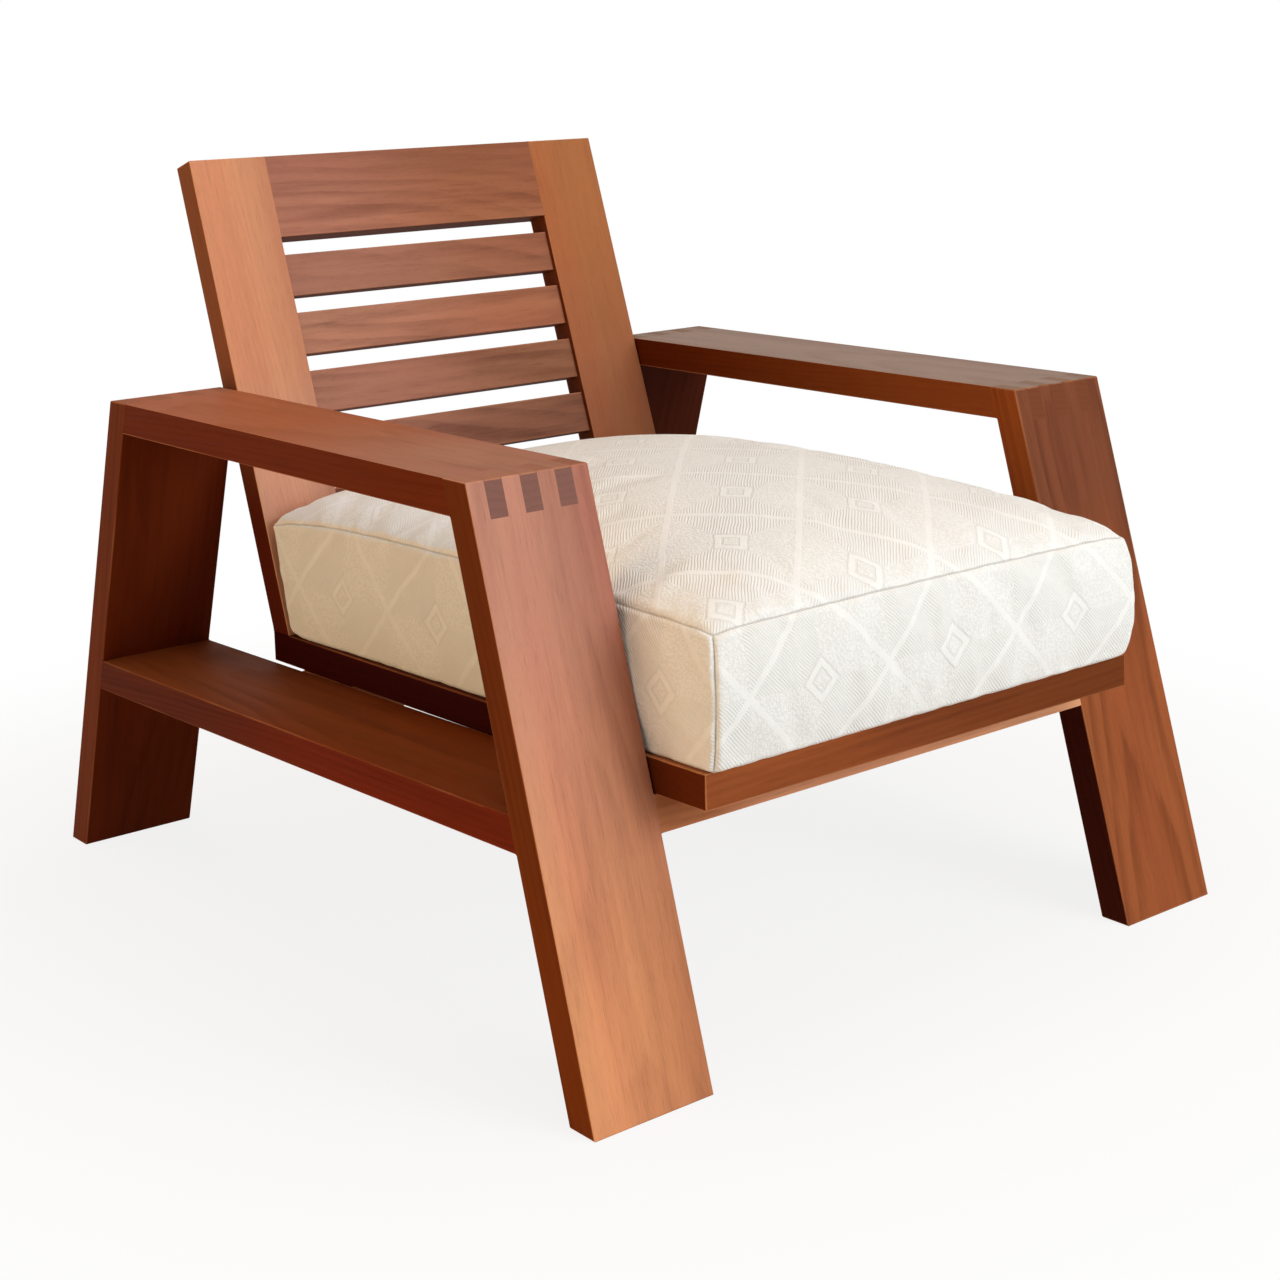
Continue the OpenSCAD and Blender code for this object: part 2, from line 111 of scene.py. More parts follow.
def ramp(tree, value, low, high, out_low=0.0, out_high=1.0, smooth=True):
    """value taken from low..high to out_low..out_high, and held there outside."""
    limits = {"Value": value, "From Min": low, "From Max": high, "To Min": out_low, "To Max": out_high}
    shape = "SMOOTHSTEP" if smooth else "LINEAR"
    return place_node(tree, "MapRange", limits, interpolation_type=shape).outputs["Result"]


def blend_colour(tree, share, one, other, how="MIX"):
    """A Mix node's colour."""
    return place_node(tree, "Mix", {0: share, 6: one, 7: other}, data_type="RGBA", blend_type=how).outputs[2]


def new_finish(name):
    """An empty material and its node tree."""
    made = bpy.data.materials.new(name)
    made.use_nodes = True
    made.node_tree.nodes.clear()
    return made, made.node_tree


def seen_direct(tree):
    """1 for rays from the camera, and for what metal and glass mirror."""
    path = place_node(tree, "LightPath")
    seen = calc(tree, "MAXIMUM", path.outputs["Is Camera Ray"], path.outputs["Is Glossy Ray"])
    return calc(tree, "MAXIMUM", seen, path.outputs["Is Transmission Ray"])


world = bpy.data.worlds.new("studio_air")
world.use_nodes = True
bpy.context.scene.world = world
air = world.node_tree
air.nodes.clear()
fill_light = place_node(air, "Background", {"Color": paint(255, 240, 222), "Strength": 0.20})
white_sweep = place_node(air, "Background", {"Color": (1, 1, 1, 1), "Strength": 1.0})
which = place_node(air, "MixShader",
                   {0: seen_direct(air), 1: fill_light.outputs[0], 2: white_sweep.outputs[0]})
place_node(air, "OutputWorld", {"Surface": which.outputs[0]})

sweep_finish, sweep = new_finish("white_sweep")
lit = place_node(sweep, "BsdfDiffuse", {"Color": paint(226, 224, 220)})
glow = place_node(sweep, "Emission", {"Color": (1, 1, 1, 1), "Strength": 1.0})
spot = place_node(sweep, "TexCoord").outputs["Object"]
out_from_chair = place_node(sweep, "VectorMath", {0: spot}, operation="LENGTH").outputs["Value"]
whiteness = calc(sweep, "MULTIPLY", seen_direct(sweep), ramp(sweep, out_from_chair, 0.5, 1.2, 0.85, 1.0))
floor_mix = place_node(sweep, "MixShader", {0: whiteness, 1: lit.outputs[0], 2: glow.outputs[0]})
place_node(sweep, "OutputMaterial", {"Surface": floor_mix.outputs[0]})

floor_mesh = bpy.data.meshes.new("floor")
below = -0.0003
floor_mesh.from_pydata([(-9, -9, below), (9, -9, below), (9, 9, below), (-9, 9, below)], [], [(0, 1, 2, 3)])
floor_mesh.materials.append(sweep_finish)
floor = bpy.data.objects.new("floor", floor_mesh)
bpy.context.scene.collection.objects.link(floor)


def hang_lamp(name, at, size, power, colour):
    """A square soft light at a point, turned to face the seat."""
    light = bpy.data.lights.new(name, "AREA")
    light.size = size
    light.energy = power
    light.color = colour[:3]
    lamp = bpy.data.objects.new(name, light)
    lamp.location = at
    lamp.rotation_euler = (SEAT_MIDDLE - Vector(at)).to_track_quat("-Z", "Y").to_euler()
    bpy.context.scene.collection.objects.link(lamp)


SEAT_MIDDLE = Vector((0, 0, 0.3))
hang_lamp("window_front", (0.9, -3.0, 1.5), 1.8, 75, paint(240, 248, 255))
hang_lamp("ceiling", (-0.1, -0.3, 3.0), 2.2, 43, paint(255, 240, 226))
hang_lamp("wall_left", (-3.0, 0.1, 0.45), 1.3, 38, paint(255, 218, 165))


# Side frames. Each is a closed ribbon of four planed hardwood boards: arm, front leg, shelf and
# rear leg. The arm is finger jointed to both legs, glued, sanded flush and oiled, and the right
# arm's top is glossier, greyed by painted sheen. Free edges are rounded over by a millimetre, and
# glued seams are tight.
NOT_WOOD = ("cushion", "zip", "seat_screws")
WOOD_NODES = sorted(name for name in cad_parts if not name.startswith(NOT_WOOD))


def stock(name):
    """The CAD board's own surface, for measuring distances to it."""
    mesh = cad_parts[name].data
    return BVHTree.FromPolygons([v.co.copy() for v in mesh.vertices], [p.vertices[:] for p in mesh.polygons])


boards_near = {name: (stock(name), *(Vector(corner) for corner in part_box(name))) for name in WOOD_NODES}
TOUCHING, REACH = 0.0004, 0.001
ASKEW = Vector((0.36, 0.48, 0.8))


def touches(point, name):
    """True where a point of one board lies on or in another board."""
    for other, (surface, low, high) in boards_near.items():
        if other == name or any(not low[k] - REACH <= point[k] <= high[k] + REACH for k in range(3)):
            continue
        if surface.find_nearest(point, TOUCHING)[0] is not None:
            return True
        hit, facing, _, _ = surface.ray_cast(point, ASKEW)
        if hit is not None and facing.dot(ASKEW) > 0:
            return True
    return False


def free_lengths(a, b, name):
    """The stretches of an arris from a to b that no other board covers."""
    steps = max(3, ceil((b - a).length / 0.003))
    free = [not touches(a.lerp(b, min(max(k / steps, 0.002), 0.998)), name) for k in range(steps + 1)]

    def last_free(k, coming_free):
        """Where the free stretch ends, or begins, between steps k - 1 and k."""
        low, high = k - 1, k
        for _ in range(6):
            middle = (low + high) / 2
            if touches(a.lerp(b, middle / steps), name) == coming_free:
                low = middle
            else:
                high = middle
        return high if coming_free else low

    stretches, start = [], None
    for k, is_free in enumerate(free):
        if is_free and start is None:
            start = last_free(k, True) if k else k
        if start is not None and (not is_free or k == steps):
            end = k if is_free else last_free(k, False)
            if (end - start) / steps * (b - a).length > 0.004:
                stretches.append((start / steps, end / steps))
            start = None
    return stretches


def as_mesh(form, name):
    """A form's mesh, once the form is done."""
    mesh = bpy.data.meshes.new(name)
    form.to_mesh(mesh)
    form.free()
    return mesh


def link_piece(name, mesh, *finishes):
    """A finished mesh as an object at the origin."""
    for finish in finishes:
        mesh.materials.append(finish)
    piece = bpy.data.objects.new(name, mesh)
    bpy.context.scene.collection.objects.link(piece)
    return piece


SHORTEST_ARRIS, SHARPEST, SEAM_STOP = 0.006, radians(30), 0.0002
STRIPS = (1.0, 0.62, 0.28)


def eased_board(name, round_over):
    """A copy of a CAD board with its free arrises rounded over: the faces are cut in narrow strips
    along each free arris, and the strips are laid on the round."""
    form = bmesh.new()
    form.from_mesh(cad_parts[name].data)
    bmesh.ops.remove_doubles(form, verts=form.verts, dist=2e-6)
    form.normal_update()
    arrises, cuts = [], {}

    # Planes that cut each face into strips beside its free arrises, and stop them at the seams.
    def cut(point, facing):
        key = (*(round(c, 2) for c in facing), round(point.dot(facing), 5))
        cuts.setdefault(key, (point, facing))

    for e in form.edges:
        if len(e.link_faces) != 2 or not e.is_convex:
            continue
        if e.calc_face_angle(0) < SHARPEST or e.calc_length() < SHORTEST_ARRIS:
            continue
        a, b = (v.co.copy() for v in e.verts)
        one, two = (f.normal.copy() for f in e.link_faces)
        along = (b - a).normalized()
        for start, end in free_lengths(a, b, name):
            p, q = a.lerp(b, start), a.lerp(b, end)
            arrises.append((p, q, one, two))
            for facing in (one, two):
                for deep in STRIPS:
                    cut(p - facing * round_over * deep, facing)
            if start > 0:
                cut(p, along)
                cut(p - along * SEAM_STOP, along)
            if end < 1:
                cut(q, along)
                cut(q + along * SEAM_STOP, along)
    for point, facing in cuts.values():
        bmesh.ops.bisect_plane(form, geom=form.verts[:] + form.edges[:] + form.faces[:], dist=1e-6,
                               plane_co=point, plane_no=facing)
    form.normal_update()

    # Points on the strips move onto the round, and faces that only such points make are worn.
    moved, normals = {}, {}
    for v in form.verts:
        sides = []
        for p, q, one, two in arrises:
            span = q - p
            share = (v.co - p).dot(span) / span.length_squared
            if not -1e-4 < share < 1 + 1e-4 or (v.co - p - share * span).length > 1.5 * round_over:
                continue
            deep = [(p - v.co).dot(one), (p - v.co).dot(two)]
            if min(deep) > 1e-5 or max(deep) > round_over + 1e-6 or min(deep) < -1e-5:
                continue
            for facing in (one, two):
                if all(facing.dot(known) < 0.999 for known, _ in sides):
                    sides.append((facing, (p - v.co).dot(facing)))
        if sides:
            inward = sum(((round_over - max(deep, 0)) * facing for facing, deep in sides), Vector())
            if inward.length > 1e-9:
                normals[v.index] = inward.normalized()
                moved[v] = v.co - inward + round_over * inward.normalized()
    worn = form.faces.layers.float.new("eased")
    flat = {}
    for face in form.faces:
        face.smooth = True
        flat[face.index] = face.normal.copy()
        round_at = [normals[v.index] for v in face.verts if v.index in normals]
        if len(round_at) == len(face.verts) and min(n.dot(face.normal) for n in round_at) < 0.999:
            face[worn] = 1.0
    for v, place in moved.items():
        v.co = place
    mesh = as_mesh(form, name + "_board")
    worn = mesh.attributes["eased"].data
    mesh.normals_split_custom_set([
        normals[mesh.loops[k].vertex_index] if worn[face.index].value else flat[face.index]
        for face in mesh.polygons for k in face.loop_indices])
    return mesh


def timber_figure():
    """Node group: sawn hardwood as a solid, with growth rings, streaks, pores and end grain. Its narrow
    faces are multiplied by Edge, a painted shade, and on some boards a painted light."""
    group = bpy.data.node_groups.new("timber figure", "ShaderNodeTree")
    for way, kind, names in (("INPUT", "Vector", ("Place", "Run", "Wide")),
                             ("INPUT", "Color", ("Tint", "Edge", "End")),
                             ("INPUT", "Float", ("Figure", "Smoke", "Rings", "Streak")),
                             ("OUTPUT", "Color", ("Color",)), ("OUTPUT", "Float", ("Roughness", "Height"))):
        for name in names:
            group.interface.new_socket(name, in_out=way, socket_type="NodeSocket" + kind)
    given = group.nodes.new("NodeGroupInput").outputs
    do, ease, mix = (partial(step, group) for step in (calc, ramp, blend_colour))

    def cloud(stretch, detail=2.0, roughness=0.5, offset=0.0):
        """Noise over the board, with its own stretch along, across and through it."""
        spread = calc_vector(group, "MULTIPLY_ADD", given["Place"], stretch, (offset,) * 3)
        return place_node(group, "TexNoise",
                          {"Vector": spread, "Scale": 1.0, "Detail": detail, "Roughness": roughness}).outputs

    def faced(direction):
        """How squarely the board's face looks along a direction."""
        facing = place_node(group, "TexCoord").outputs["Normal"]
        along = place_node(group, "VectorMath", {0: facing, 1: direction}, operation="DOT_PRODUCT")
        return do("ABSOLUTE", along.outputs["Value"])

    off = calc_vector(group, "SUBTRACT", cloud((1.6, 6, 6), 1.5, offset=3.1)["Color"], (0.5, 0.5, 0.5))
    part = split(group, calc_vector(group, "MULTIPLY_ADD", off, (0, 0.055, 0.055), given["Place"]))
    from_heart = do("SQRT", do("ADD", *(do("MULTIPLY", part[axis], part[axis]) for axis in "YZ")))
    ripple = ease(cloud((5, 70, 70), 2)["Fac"], 0.2, 0.8, -0.0011, 0.0011, smooth=False)
    year = do("FRACT", do("MULTIPLY", do("ADD", from_heart, ripple), given["Rings"]))
    late = do("MULTIPLY", ease(year, 0.2, 0.85), ease(year, 0.87, 1.0, 1.0, 0.0))
    streak = cloud((1.3, 95, 95), 3, 0.6, offset=7.7)["Fac"]
    fibre = cloud((9, 800, 800), 2, 0.6)["Fac"]
    pores = ease(cloud((40, 2100, 2100), 1)["Fac"], 0.60, 0.72)
    flecks = ease(cloud((20, 330, 330), 1.5, offset=4.4)["Fac"], 0.57, 0.72)
    shown = ease(cloud((4, 24, 24), 1.5, offset=5.3)["Fac"], 0.34, 0.64, 0.10, 0.60)
    smoky = ease(cloud((2.4, 25, 25), 3, 0.55, offset=11.9)["Fac"], 0.44, 0.78)

    tone = 0.02
    for mark, depth in ((do("MULTIPLY", late, shown), given["Figure"]), (smoky, given["Smoke"]),
                        (do("SUBTRACT", streak, 0.5), given["Streak"]), (do("SUBTRACT", fibre, 0.5), 0.22),
                        (flecks, 0.12), (pores, 0.22)):
        tone = do("MULTIPLY_ADD", mark, depth, tone)
    blushed = ease(cloud((1.0, 13, 13), 2, offset=1.9)["Fac"], 0.38, 0.68)
    rosy = mix(1.0, given["Tint"], (1.0, 0.91, 0.93, 1), "MULTIPLY")
    deep = mix(1.0, given["Tint"], (0.36, 0.30, 0.34, 1), "MULTIPLY")
    face = mix(tone, mix(blushed, given["Tint"], rosy), deep)
    # Painted shade, and on some boards painted light, on the narrow faces.
    edge = mix(1.0, face, given["Edge"], "MULTIPLY")
    face = mix(ease(faced(given["Wide"]), 0.80, 0.90), face, edge)

    is_end = ease(faced(given["Run"]), 0.86, 0.93)
    end_spots = cloud((900, 900, 900), 1)["Fac"]
    end_tone = do("MULTIPLY_ADD", late, 0.12, do("MULTIPLY", end_spots, 0.4), clamp=True)
    end_deep = mix(1.0, given["End"], (0.62, 0.55, 0.55, 1), "MULTIPLY")
    sawn = mix(is_end, face, mix(end_tone, given["End"], end_deep))
    worn = place_node(group, "Attribute", attribute_name="eased").outputs["Fac"]
    use = ease(cloud((7, 40, 40), 2, offset=2.3)["Fac"], 0.36, 0.62, 0.04, 0.26)
    rubbed = mix(do("MULTIPLY", worn, use), sawn, paint(212, 142, 98))

    gives = group.nodes.new("NodeGroupOutput")
    group.links.new(rubbed, gives.inputs["Color"])
    rough = do("MULTIPLY_ADD", fibre, 0.14, do("MULTIPLY_ADD", late, 0.05, 0.54))
    group.links.new(do("MULTIPLY_ADD", is_end, 0.14, rough), gives.inputs["Roughness"])
    height = do("MULTIPLY", fibre, 0.5)
    height = do("SUBTRACT", height, do("MULTIPLY", pores, 0.8))
    group.links.new(height, gives.inputs["Height"])
    return group


TIMBER = timber_figure()
END_GRAIN = paint(136, 96, 86)
# Painted shade for a board's narrow faces: dark, brown and slight.
DARK_EDGE_SHADE, BROWN_EDGE_SHADE, SLIGHT_EDGE_SHADE = (0.36, 0.20, 0.11, 1), (0.62, 0.42, 0.30, 1), (0.95, 0.85, 0.75, 1)


def coat(tree, look):
    """Wires one Principled shader, with the given inputs, to a material's output."""
    shader = place_node(tree, "BsdfPrincipled", look)
    place_node(tree, "OutputMaterial", {"Surface": shader.outputs[0]})


def timber_finish(name, run, wide, heart, tint, figure=0.35, smoke=0.3, rings=150, streak=0.7, slope=0.03,
                  edge=DARK_EDGE_SHADE, end=END_GRAIN, fade=None, painted_shade_across=None, gloss=0.05):
    """Oiled hardwood sawn along run with its face across wide; heart is where the tree's middle lay,
    as (along, across, under the face), in metres. Painted light and shade change along the board's
    run by (axis, from, to, tint, edge), and painted shade darkens it across by (axis, from, to, shade)."""
    finish, tree = new_finish(name)
    run = Vector(run).normalized()
    wide = Vector(wide).normalized()
    sawn_run = (run + slope * run.cross(wide)).normalized()
    sawn_wide = (wide - wide.dot(sawn_run) * sawn_run).normalized()
    turned = Matrix((sawn_run, sawn_wide, sawn_run.cross(sawn_wide))).to_euler()
    spot = place_node(tree, "TexCoord").outputs["Object"]
    laid = place_node(tree, "Mapping", {"Vector": spot, "Location": heart, "Rotation": turned})
    sawn = place_node(tree, "Group", node_tree=TIMBER)
    tree.links.new(laid.outputs[0], sawn.inputs["Place"])
    for key, value in (("Run", run), ("Wide", wide), ("Tint", paint(*tint)), ("Edge", edge), ("End", end),
                       ("Figure", figure), ("Smoke", smoke), ("Rings", rings), ("Streak", streak)):
        sawn.inputs[key].default_value = value
    # Painted light and shade along the board: the tint and the narrow faces' shade blend from end to end.
    if fade:
        axis, near, far, far_tint, far_edge = fade
        share = ramp(tree, split(tree, spot)[axis], near, far)
        tree.links.new(blend_colour(tree, share, paint(*tint), paint(*far_tint)), sawn.inputs["Tint"])
        tree.links.new(blend_colour(tree, share, edge, far_edge), sawn.inputs["Edge"])
    colour = sawn.outputs["Color"]
    # Painted shade across the board.
    if painted_shade_across:
        axis, near, far, shade = painted_shade_across
        share = ramp(tree, split(tree, spot)[axis], near, far)
        colour = blend_colour(tree, share, colour, shade, "MULTIPLY")
    height = sawn.outputs["Height"]
    grain = place_node(tree, "Bump", {"Strength": 0.35, "Distance": 0.0004, "Height": height})
    coat(tree, {"Base Color": colour, "Roughness": sawn.outputs["Roughness"], "Normal": grain.outputs[0],
                "Specular IOR Level": gloss, "Specular Tint": (1.0, 0.74, 0.55, 1)})
    return finish


def fit_board(name, run, wide, heart, tint, slot="frame_wood", round_over=0.0013, **looks):
    """The eased and oiled board in place of the plain one."""
    finish = timber_finish(name + "_oiled", run, wide, heart, tint, **looks)
    piece = link_piece(name + "_board", eased_board(name, round_over), finish)
    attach(piece, "chair_frame")
    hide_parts(name)
    return piece


ACROSS = (1, 0, 0)


def leaning(degrees):
    """The direction of a board that stands up and leans back by an angle."""
    return (0, sin(radians(degrees)), cos(radians(degrees)))


def falling(degrees):
    """The direction of a board that runs back and falls by an angle."""
    return (0, cos(radians(degrees)), -sin(radians(degrees)))


ARM_RUN, SHELF_RUN, SEAT_RUN = falling(0.8), falling(1.9), falling(1.4)
FRONT_RUN, REAR_RUN, BACK_RUN = leaning(16.9), leaning(-15.95), leaning(19.1)

FINGER_ENDS = {"left_arm": END_GRAIN, "right_arm": paint(119, 67, 43), "left_front_leg": paint(172, 120, 97),
               "left_rear_leg": paint(160, 102, 76)}
# The outside tint is the plain wood without painted shade. The plain end grain is greyed to go with the far
# arm's painted sheen, where the far leg's finger ends show in its top.
PLAIN_END, OUTSIDE_END, OUTSIDE_TINT = paint(143, 118, 102), paint(112, 62, 40), (150, 86, 54)

# The boards below carry painted light and shade: the rear legs and the near shelf are darkened by painted
# shade, the far leg's inner face is painted dark below the seat and light above it, the near leg is painted
# darker towards its right edge, and the near arm's front is greyed by painted sheen.
for name, run, heart, tint, looks in (
        ("left_arm", ARM_RUN, (0.3, 0.36, -0.42), (162, 95, 63),
         dict(figure=0.2, smoke=0.15, streak=0.5, edge=(0.36, 0.17, 0.05, 1),
              fade=("Y", 0.06, -0.22, (163, 113, 90), (0.38, 0.12, 0.01, 1)))),
        ("right_arm", ARM_RUN, (1.3, -0.31, -0.44), (130, 84, 64),
         dict(figure=0.2, smoke=0.2, streak=0.5, edge=(1.1, 0.62, 0.2, 1),
              fade=("Y", -0.3, 0.25, (130, 84, 64), (0.40, 0.14, 0.02, 1)))),
        ("left_front_leg", FRONT_RUN, (2.2, 0.345, 0.30), (223, 153, 107),
         dict(figure=0.32, smoke=0.18, rings=110, streak=0.55, edge=(0.24, 0.10, 0.008, 1),
              fade=("Z", 0.05, 0.45, (195, 138, 116), (0.25, 0.10, 0.008, 1)),
              painted_shade_across=("X", -0.375, -0.265, (0.75, 0.68, 0.67, 1)))),
        ("right_front_leg", FRONT_RUN, (4.1, -0.335, 0.34), (151, 85, 48),
         dict(figure=0.7, smoke=0.3, rings=120, edge=(0.15, 0.05, 0.03, 1),
              fade=("Z", 0.22, 0.42, (121, 70, 46), (1.55, 1.1, 0.42, 1)))),
        ("left_rear_leg", REAR_RUN, (5.3, 0.36, -0.32), (105, 41, 14),
         dict(figure=0.3, edge=(1.0, 1.3, 1.3, 1))),
        ("right_rear_leg", REAR_RUN, (6.7, -0.32, -0.35), (80, 30, 13), dict(figure=0.3, edge=SLIGHT_EDGE_SHADE)),
        ("left_side_shelf", SHELF_RUN, (7.9, 0.30, -0.12), (138, 64, 19),
         dict(figure=0.4, edge=(0.60, 0.30, 0.06, 1),
              fade=("Y", -0.1, 0.2, (136, 71, 34), (0.38, 0.23, 0.09, 1)))),
        ("right_side_shelf", SHELF_RUN, (9.1, -0.30, -0.14), (128, 62, 30),
         dict(figure=0.4, edge=BROWN_EDGE_SHADE))):
    # Its own finish with its painted light and shade, a plainer one on the faces that look right or
    # back, and the far arm's glossier top, greyed by painted sheen.
    end = FINGER_ENDS.get(name, PLAIN_END)
    board = fit_board(name, run, ACROSS, heart, tint, end=end, **looks)
    finishes = board.data.materials
    finishes.append(timber_finish(name + "_outside", run, ACROSS, heart, OUTSIDE_TINT,
                                  figure=0.3, edge=BROWN_EDGE_SHADE, end=OUTSIDE_END))
    if name == "right_arm":
        # The far arm's top: more gloss, and a greyer tint that is painted sheen.
        finishes.append(timber_finish(name + "_glossy_painted_sheen", run, ACROSS, heart, (126, 101, 86), end=end,
                                      figure=0.2, smoke=0.2, streak=0.5, gloss=0.6))
    for face in board.data.polygons:
        face.material_index = int(face.normal.x > 0.6 or face.normal.y > 0.6)
        if len(finishes) == 3 and face.normal.z > 0.9:
            face.material_index = 2


# Cross stretchers. The front one is tenoned into the front legs under the seat. The rear one is
# held between the shelves on turned beech dowels, which stay hidden in their holes.
for name, heart in (("front_stretcher", (0.4, 0.42, -0.19)), ("rear_stretcher", (1.9, -0.11, -0.21))):
    # Painted shade darkens both stretchers towards their left ends.
    fit_board(name, ACROSS, SEAT_RUN, heart, (182, 124, 86), edge=SLIGHT_EDGE_SHADE,
              fade=("X", -0.24, -0.12, (230, 176, 138), SLIGHT_EDGE_SHADE))

beech, dowel_tree = new_finish("turned_beech")
dowel_spot = place_node(dowel_tree, "TexCoord").outputs["Object"]
dowel_grain = place_node(dowel_tree, "Mapping", {"Vector": dowel_spot, "Scale": (40, 700, 700)})
dowel_fleck = place_node(dowel_tree, "TexNoise", {"Vector": dowel_grain.outputs[0], "Scale": 1.0})
dowel_colour = blend_colour(dowel_tree, dowel_fleck.outputs["Fac"], paint(196, 150, 108), paint(148, 98, 66))
coat(dowel_tree, {"Base Color": dowel_colour, "Roughness": 0.62})
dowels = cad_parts["stretcher_dowels"]
dowels.data.materials.clear()
dowels.data.materials.append(beech)


# Seat frame. A front rail over the full width, side rails tenoned into it, a rear rail between
# them, and a deck of thin slats let into the side rails. Screwed to the stretchers from below.
# Painted shade: the side rails are darkened as under the cushion, and the front rail is darker towards the
# right.
for name, run, wide, heart, tint, looks in (
        ("seat_front_rail", ACROSS, SEAT_RUN, (0.2, 0.46, -0.33), (183, 119, 77),
         dict(figure=0.2, smoke=0.5, edge=BROWN_EDGE_SHADE, fade=("X", -0.22, 0.22, (139, 87, 50), BROWN_EDGE_SHADE))),
        ("seat_rear_rail", ACROSS, SEAT_RUN, (3.1, -0.16, -0.35), (140, 78, 46), dict(figure=0.35)),
        ("left_seat_rail", SEAT_RUN, ACROSS, (4.6, 0.23, -0.35), (94, 38, 18),
         dict(figure=0.3, edge=(0.27, 0.055, 0.03, 1))),
        ("right_seat_rail", SEAT_RUN, ACROSS, (5.7, -0.21, -0.34), (94, 38, 18), dict(figure=0.3))):
    fit_board(name, run, wide, heart, tint, end=paint(92, 37, 12), **looks)

SLAT_ROUND = 0.0016
for number in range(1, 8):
    heart = (number * 0.83, 0.02 * number - 0.1, -0.29 + 0.01 * (number % 3))
    fit_board(f"seat_slat_{number}", ACROSS, SEAT_RUN, heart, (160, 98, 68), "slat_wood", SLAT_ROUND,
              figure=0.5)


# Back. Two stiles run its full height, with a top and a bottom rail tenoned between them and thin
# slats housed in their inner edges, set back from the front. The slats show a dark wavy figure.
# Painted light and shade on the back: the right stile and the left stile's narrow faces are darker low down,
# the left stile is darker towards its right edge, and the top rail is darker towards the right and towards
# its top.
for name, run, wide, heart, tint, looks in (
        ("left_back_stile", BACK_RUN, ACROSS, (0.9, 0.15, -0.02), (208, 158, 131),
         dict(figure=0.1, smoke=0.10, rings=210, streak=0.3, edge=(0.13, 0.03, 0.014, 1),
              fade=("Z", 0.36, 0.56, (211, 149, 112), (0.38, 0.28, 0.20, 1)),
              painted_shade_across=("X", -0.23, -0.165, (0.80, 0.76, 0.80, 1)))),
        ("right_back_stile", BACK_RUN, ACROSS, (2.9, -0.12, -0.03), (152, 98, 68),
         dict(figure=0.1, smoke=0.14, rings=210, streak=0.3,
              fade=("Z", 0.42, 0.66, (169, 107, 67), DARK_EDGE_SHADE))),
        ("back_top_rail", ACROSS, BACK_RUN, (1.2, -0.72, -0.03), (179, 122, 100),
         dict(smoke=0.5, slope=0.05, fade=("X", -0.15, 0.1, (160, 103, 74), DARK_EDGE_SHADE),
              painted_shade_across=("Z", 0.655, 0.735, (0.80, 0.78, 0.80, 1)))),
        ("back_bottom_rail", ACROSS, BACK_RUN, (3.5, -0.34, -0.05), (166, 110, 86), dict(smoke=0.5))):
    fit_board(name, run, wide, heart, tint, **looks)

# Each slat has its own tone, in part painted shade from the cushion, and darkens towards its right end by
# painted shade.
for number, tint, far_tint in ((1, (165, 115, 96), (154, 102, 77)), (2, (180, 130, 105), (165, 108, 80)),
                               (3, (166, 117, 97), (143, 96, 72)), (4, (158, 108, 89), (136, 93, 72)),
                               (5, (156, 106, 86), (136, 93, 72))):
    heart = (number * 1.37, -0.66 + 0.06 * number, 0.02 * (number % 2) - 0.05)
    fit_board(f"back_slat_{number}", ACROSS, BACK_RUN, heart, tint, "slat_wood", SLAT_ROUND, figure=0.45,
              smoke=0.65, rings=105, slope=0.07, fade=("X", -0.12, 0.14, far_tint, DARK_EDGE_SHADE))


# Seat screws. Four zinc-plated countersunk wood screws, driven up through the stretchers into the
# seat frame. Their heads, each with a cross recess, sit just under flush on the underside.
def brushed_finish(name, colour, dull):
    """Plated or drawn metal with fine scratches and a little tarnish."""
    finish, tree = new_finish(name)
    spot = place_node(tree, "TexCoord").outputs["Object"]
    scratch = place_node(tree, "TexNoise", {"Vector": spot, "Scale": 900.0, "Detail": 3.0}).outputs["Fac"]
    stain = place_node(tree, "TexNoise", {"Vector": spot, "Scale": 140.0, "Detail": 2.0}).outputs["Fac"]
    shade = tuple(0.62 * c for c in colour[:3]) + (1,)
    coat(tree, {"Base Color": blend_colour(tree, ramp(tree, stain, 0.45, 0.75), colour, shade),
                "Metallic": 1.0, "Roughness": ramp(tree, scratch, 0.3, 0.7, dull, dull + 0.18)})
    return finish


SEAT_TURN = Matrix.Translation((0, 0, 0.2317)) @ Matrix.Rotation(radians(-1.4), 4, "X")
screw_finish = brushed_finish("zinc_plate", paint(196, 194, 186), 0.28)
SCREW_PLACES = [(-0.180, -0.380), (0.180, -0.380), (-0.222, 0.110), (0.222, 0.110)]
SCREW_SHANK, SCREW_HEAD, SCREW_SINK, SCREW_POINT, SCREW_LENGTH = 0.0025, 0.005, 0.003, 0.006, 0.052
SCREW_SIDES, RECESS_RIM, RECESS_FLOOR, RECESS_TAPER = 24, 0.0002, 0.0019, 0.6
RECESS_LONG, RECESS_HALF = 0.0029, 0.00055
RAIL_THICK = 0.0315


def around(ring):
    """Each item of a ring with the next one."""
    return zip(ring, ring[1:] + ring[:1])


def join_rings(form, low, high):
    """Quads from one ring of points to another."""
    for (a, b), (d, c) in zip(around(low), around(high)):
        form.faces.new((a, b, c, d))


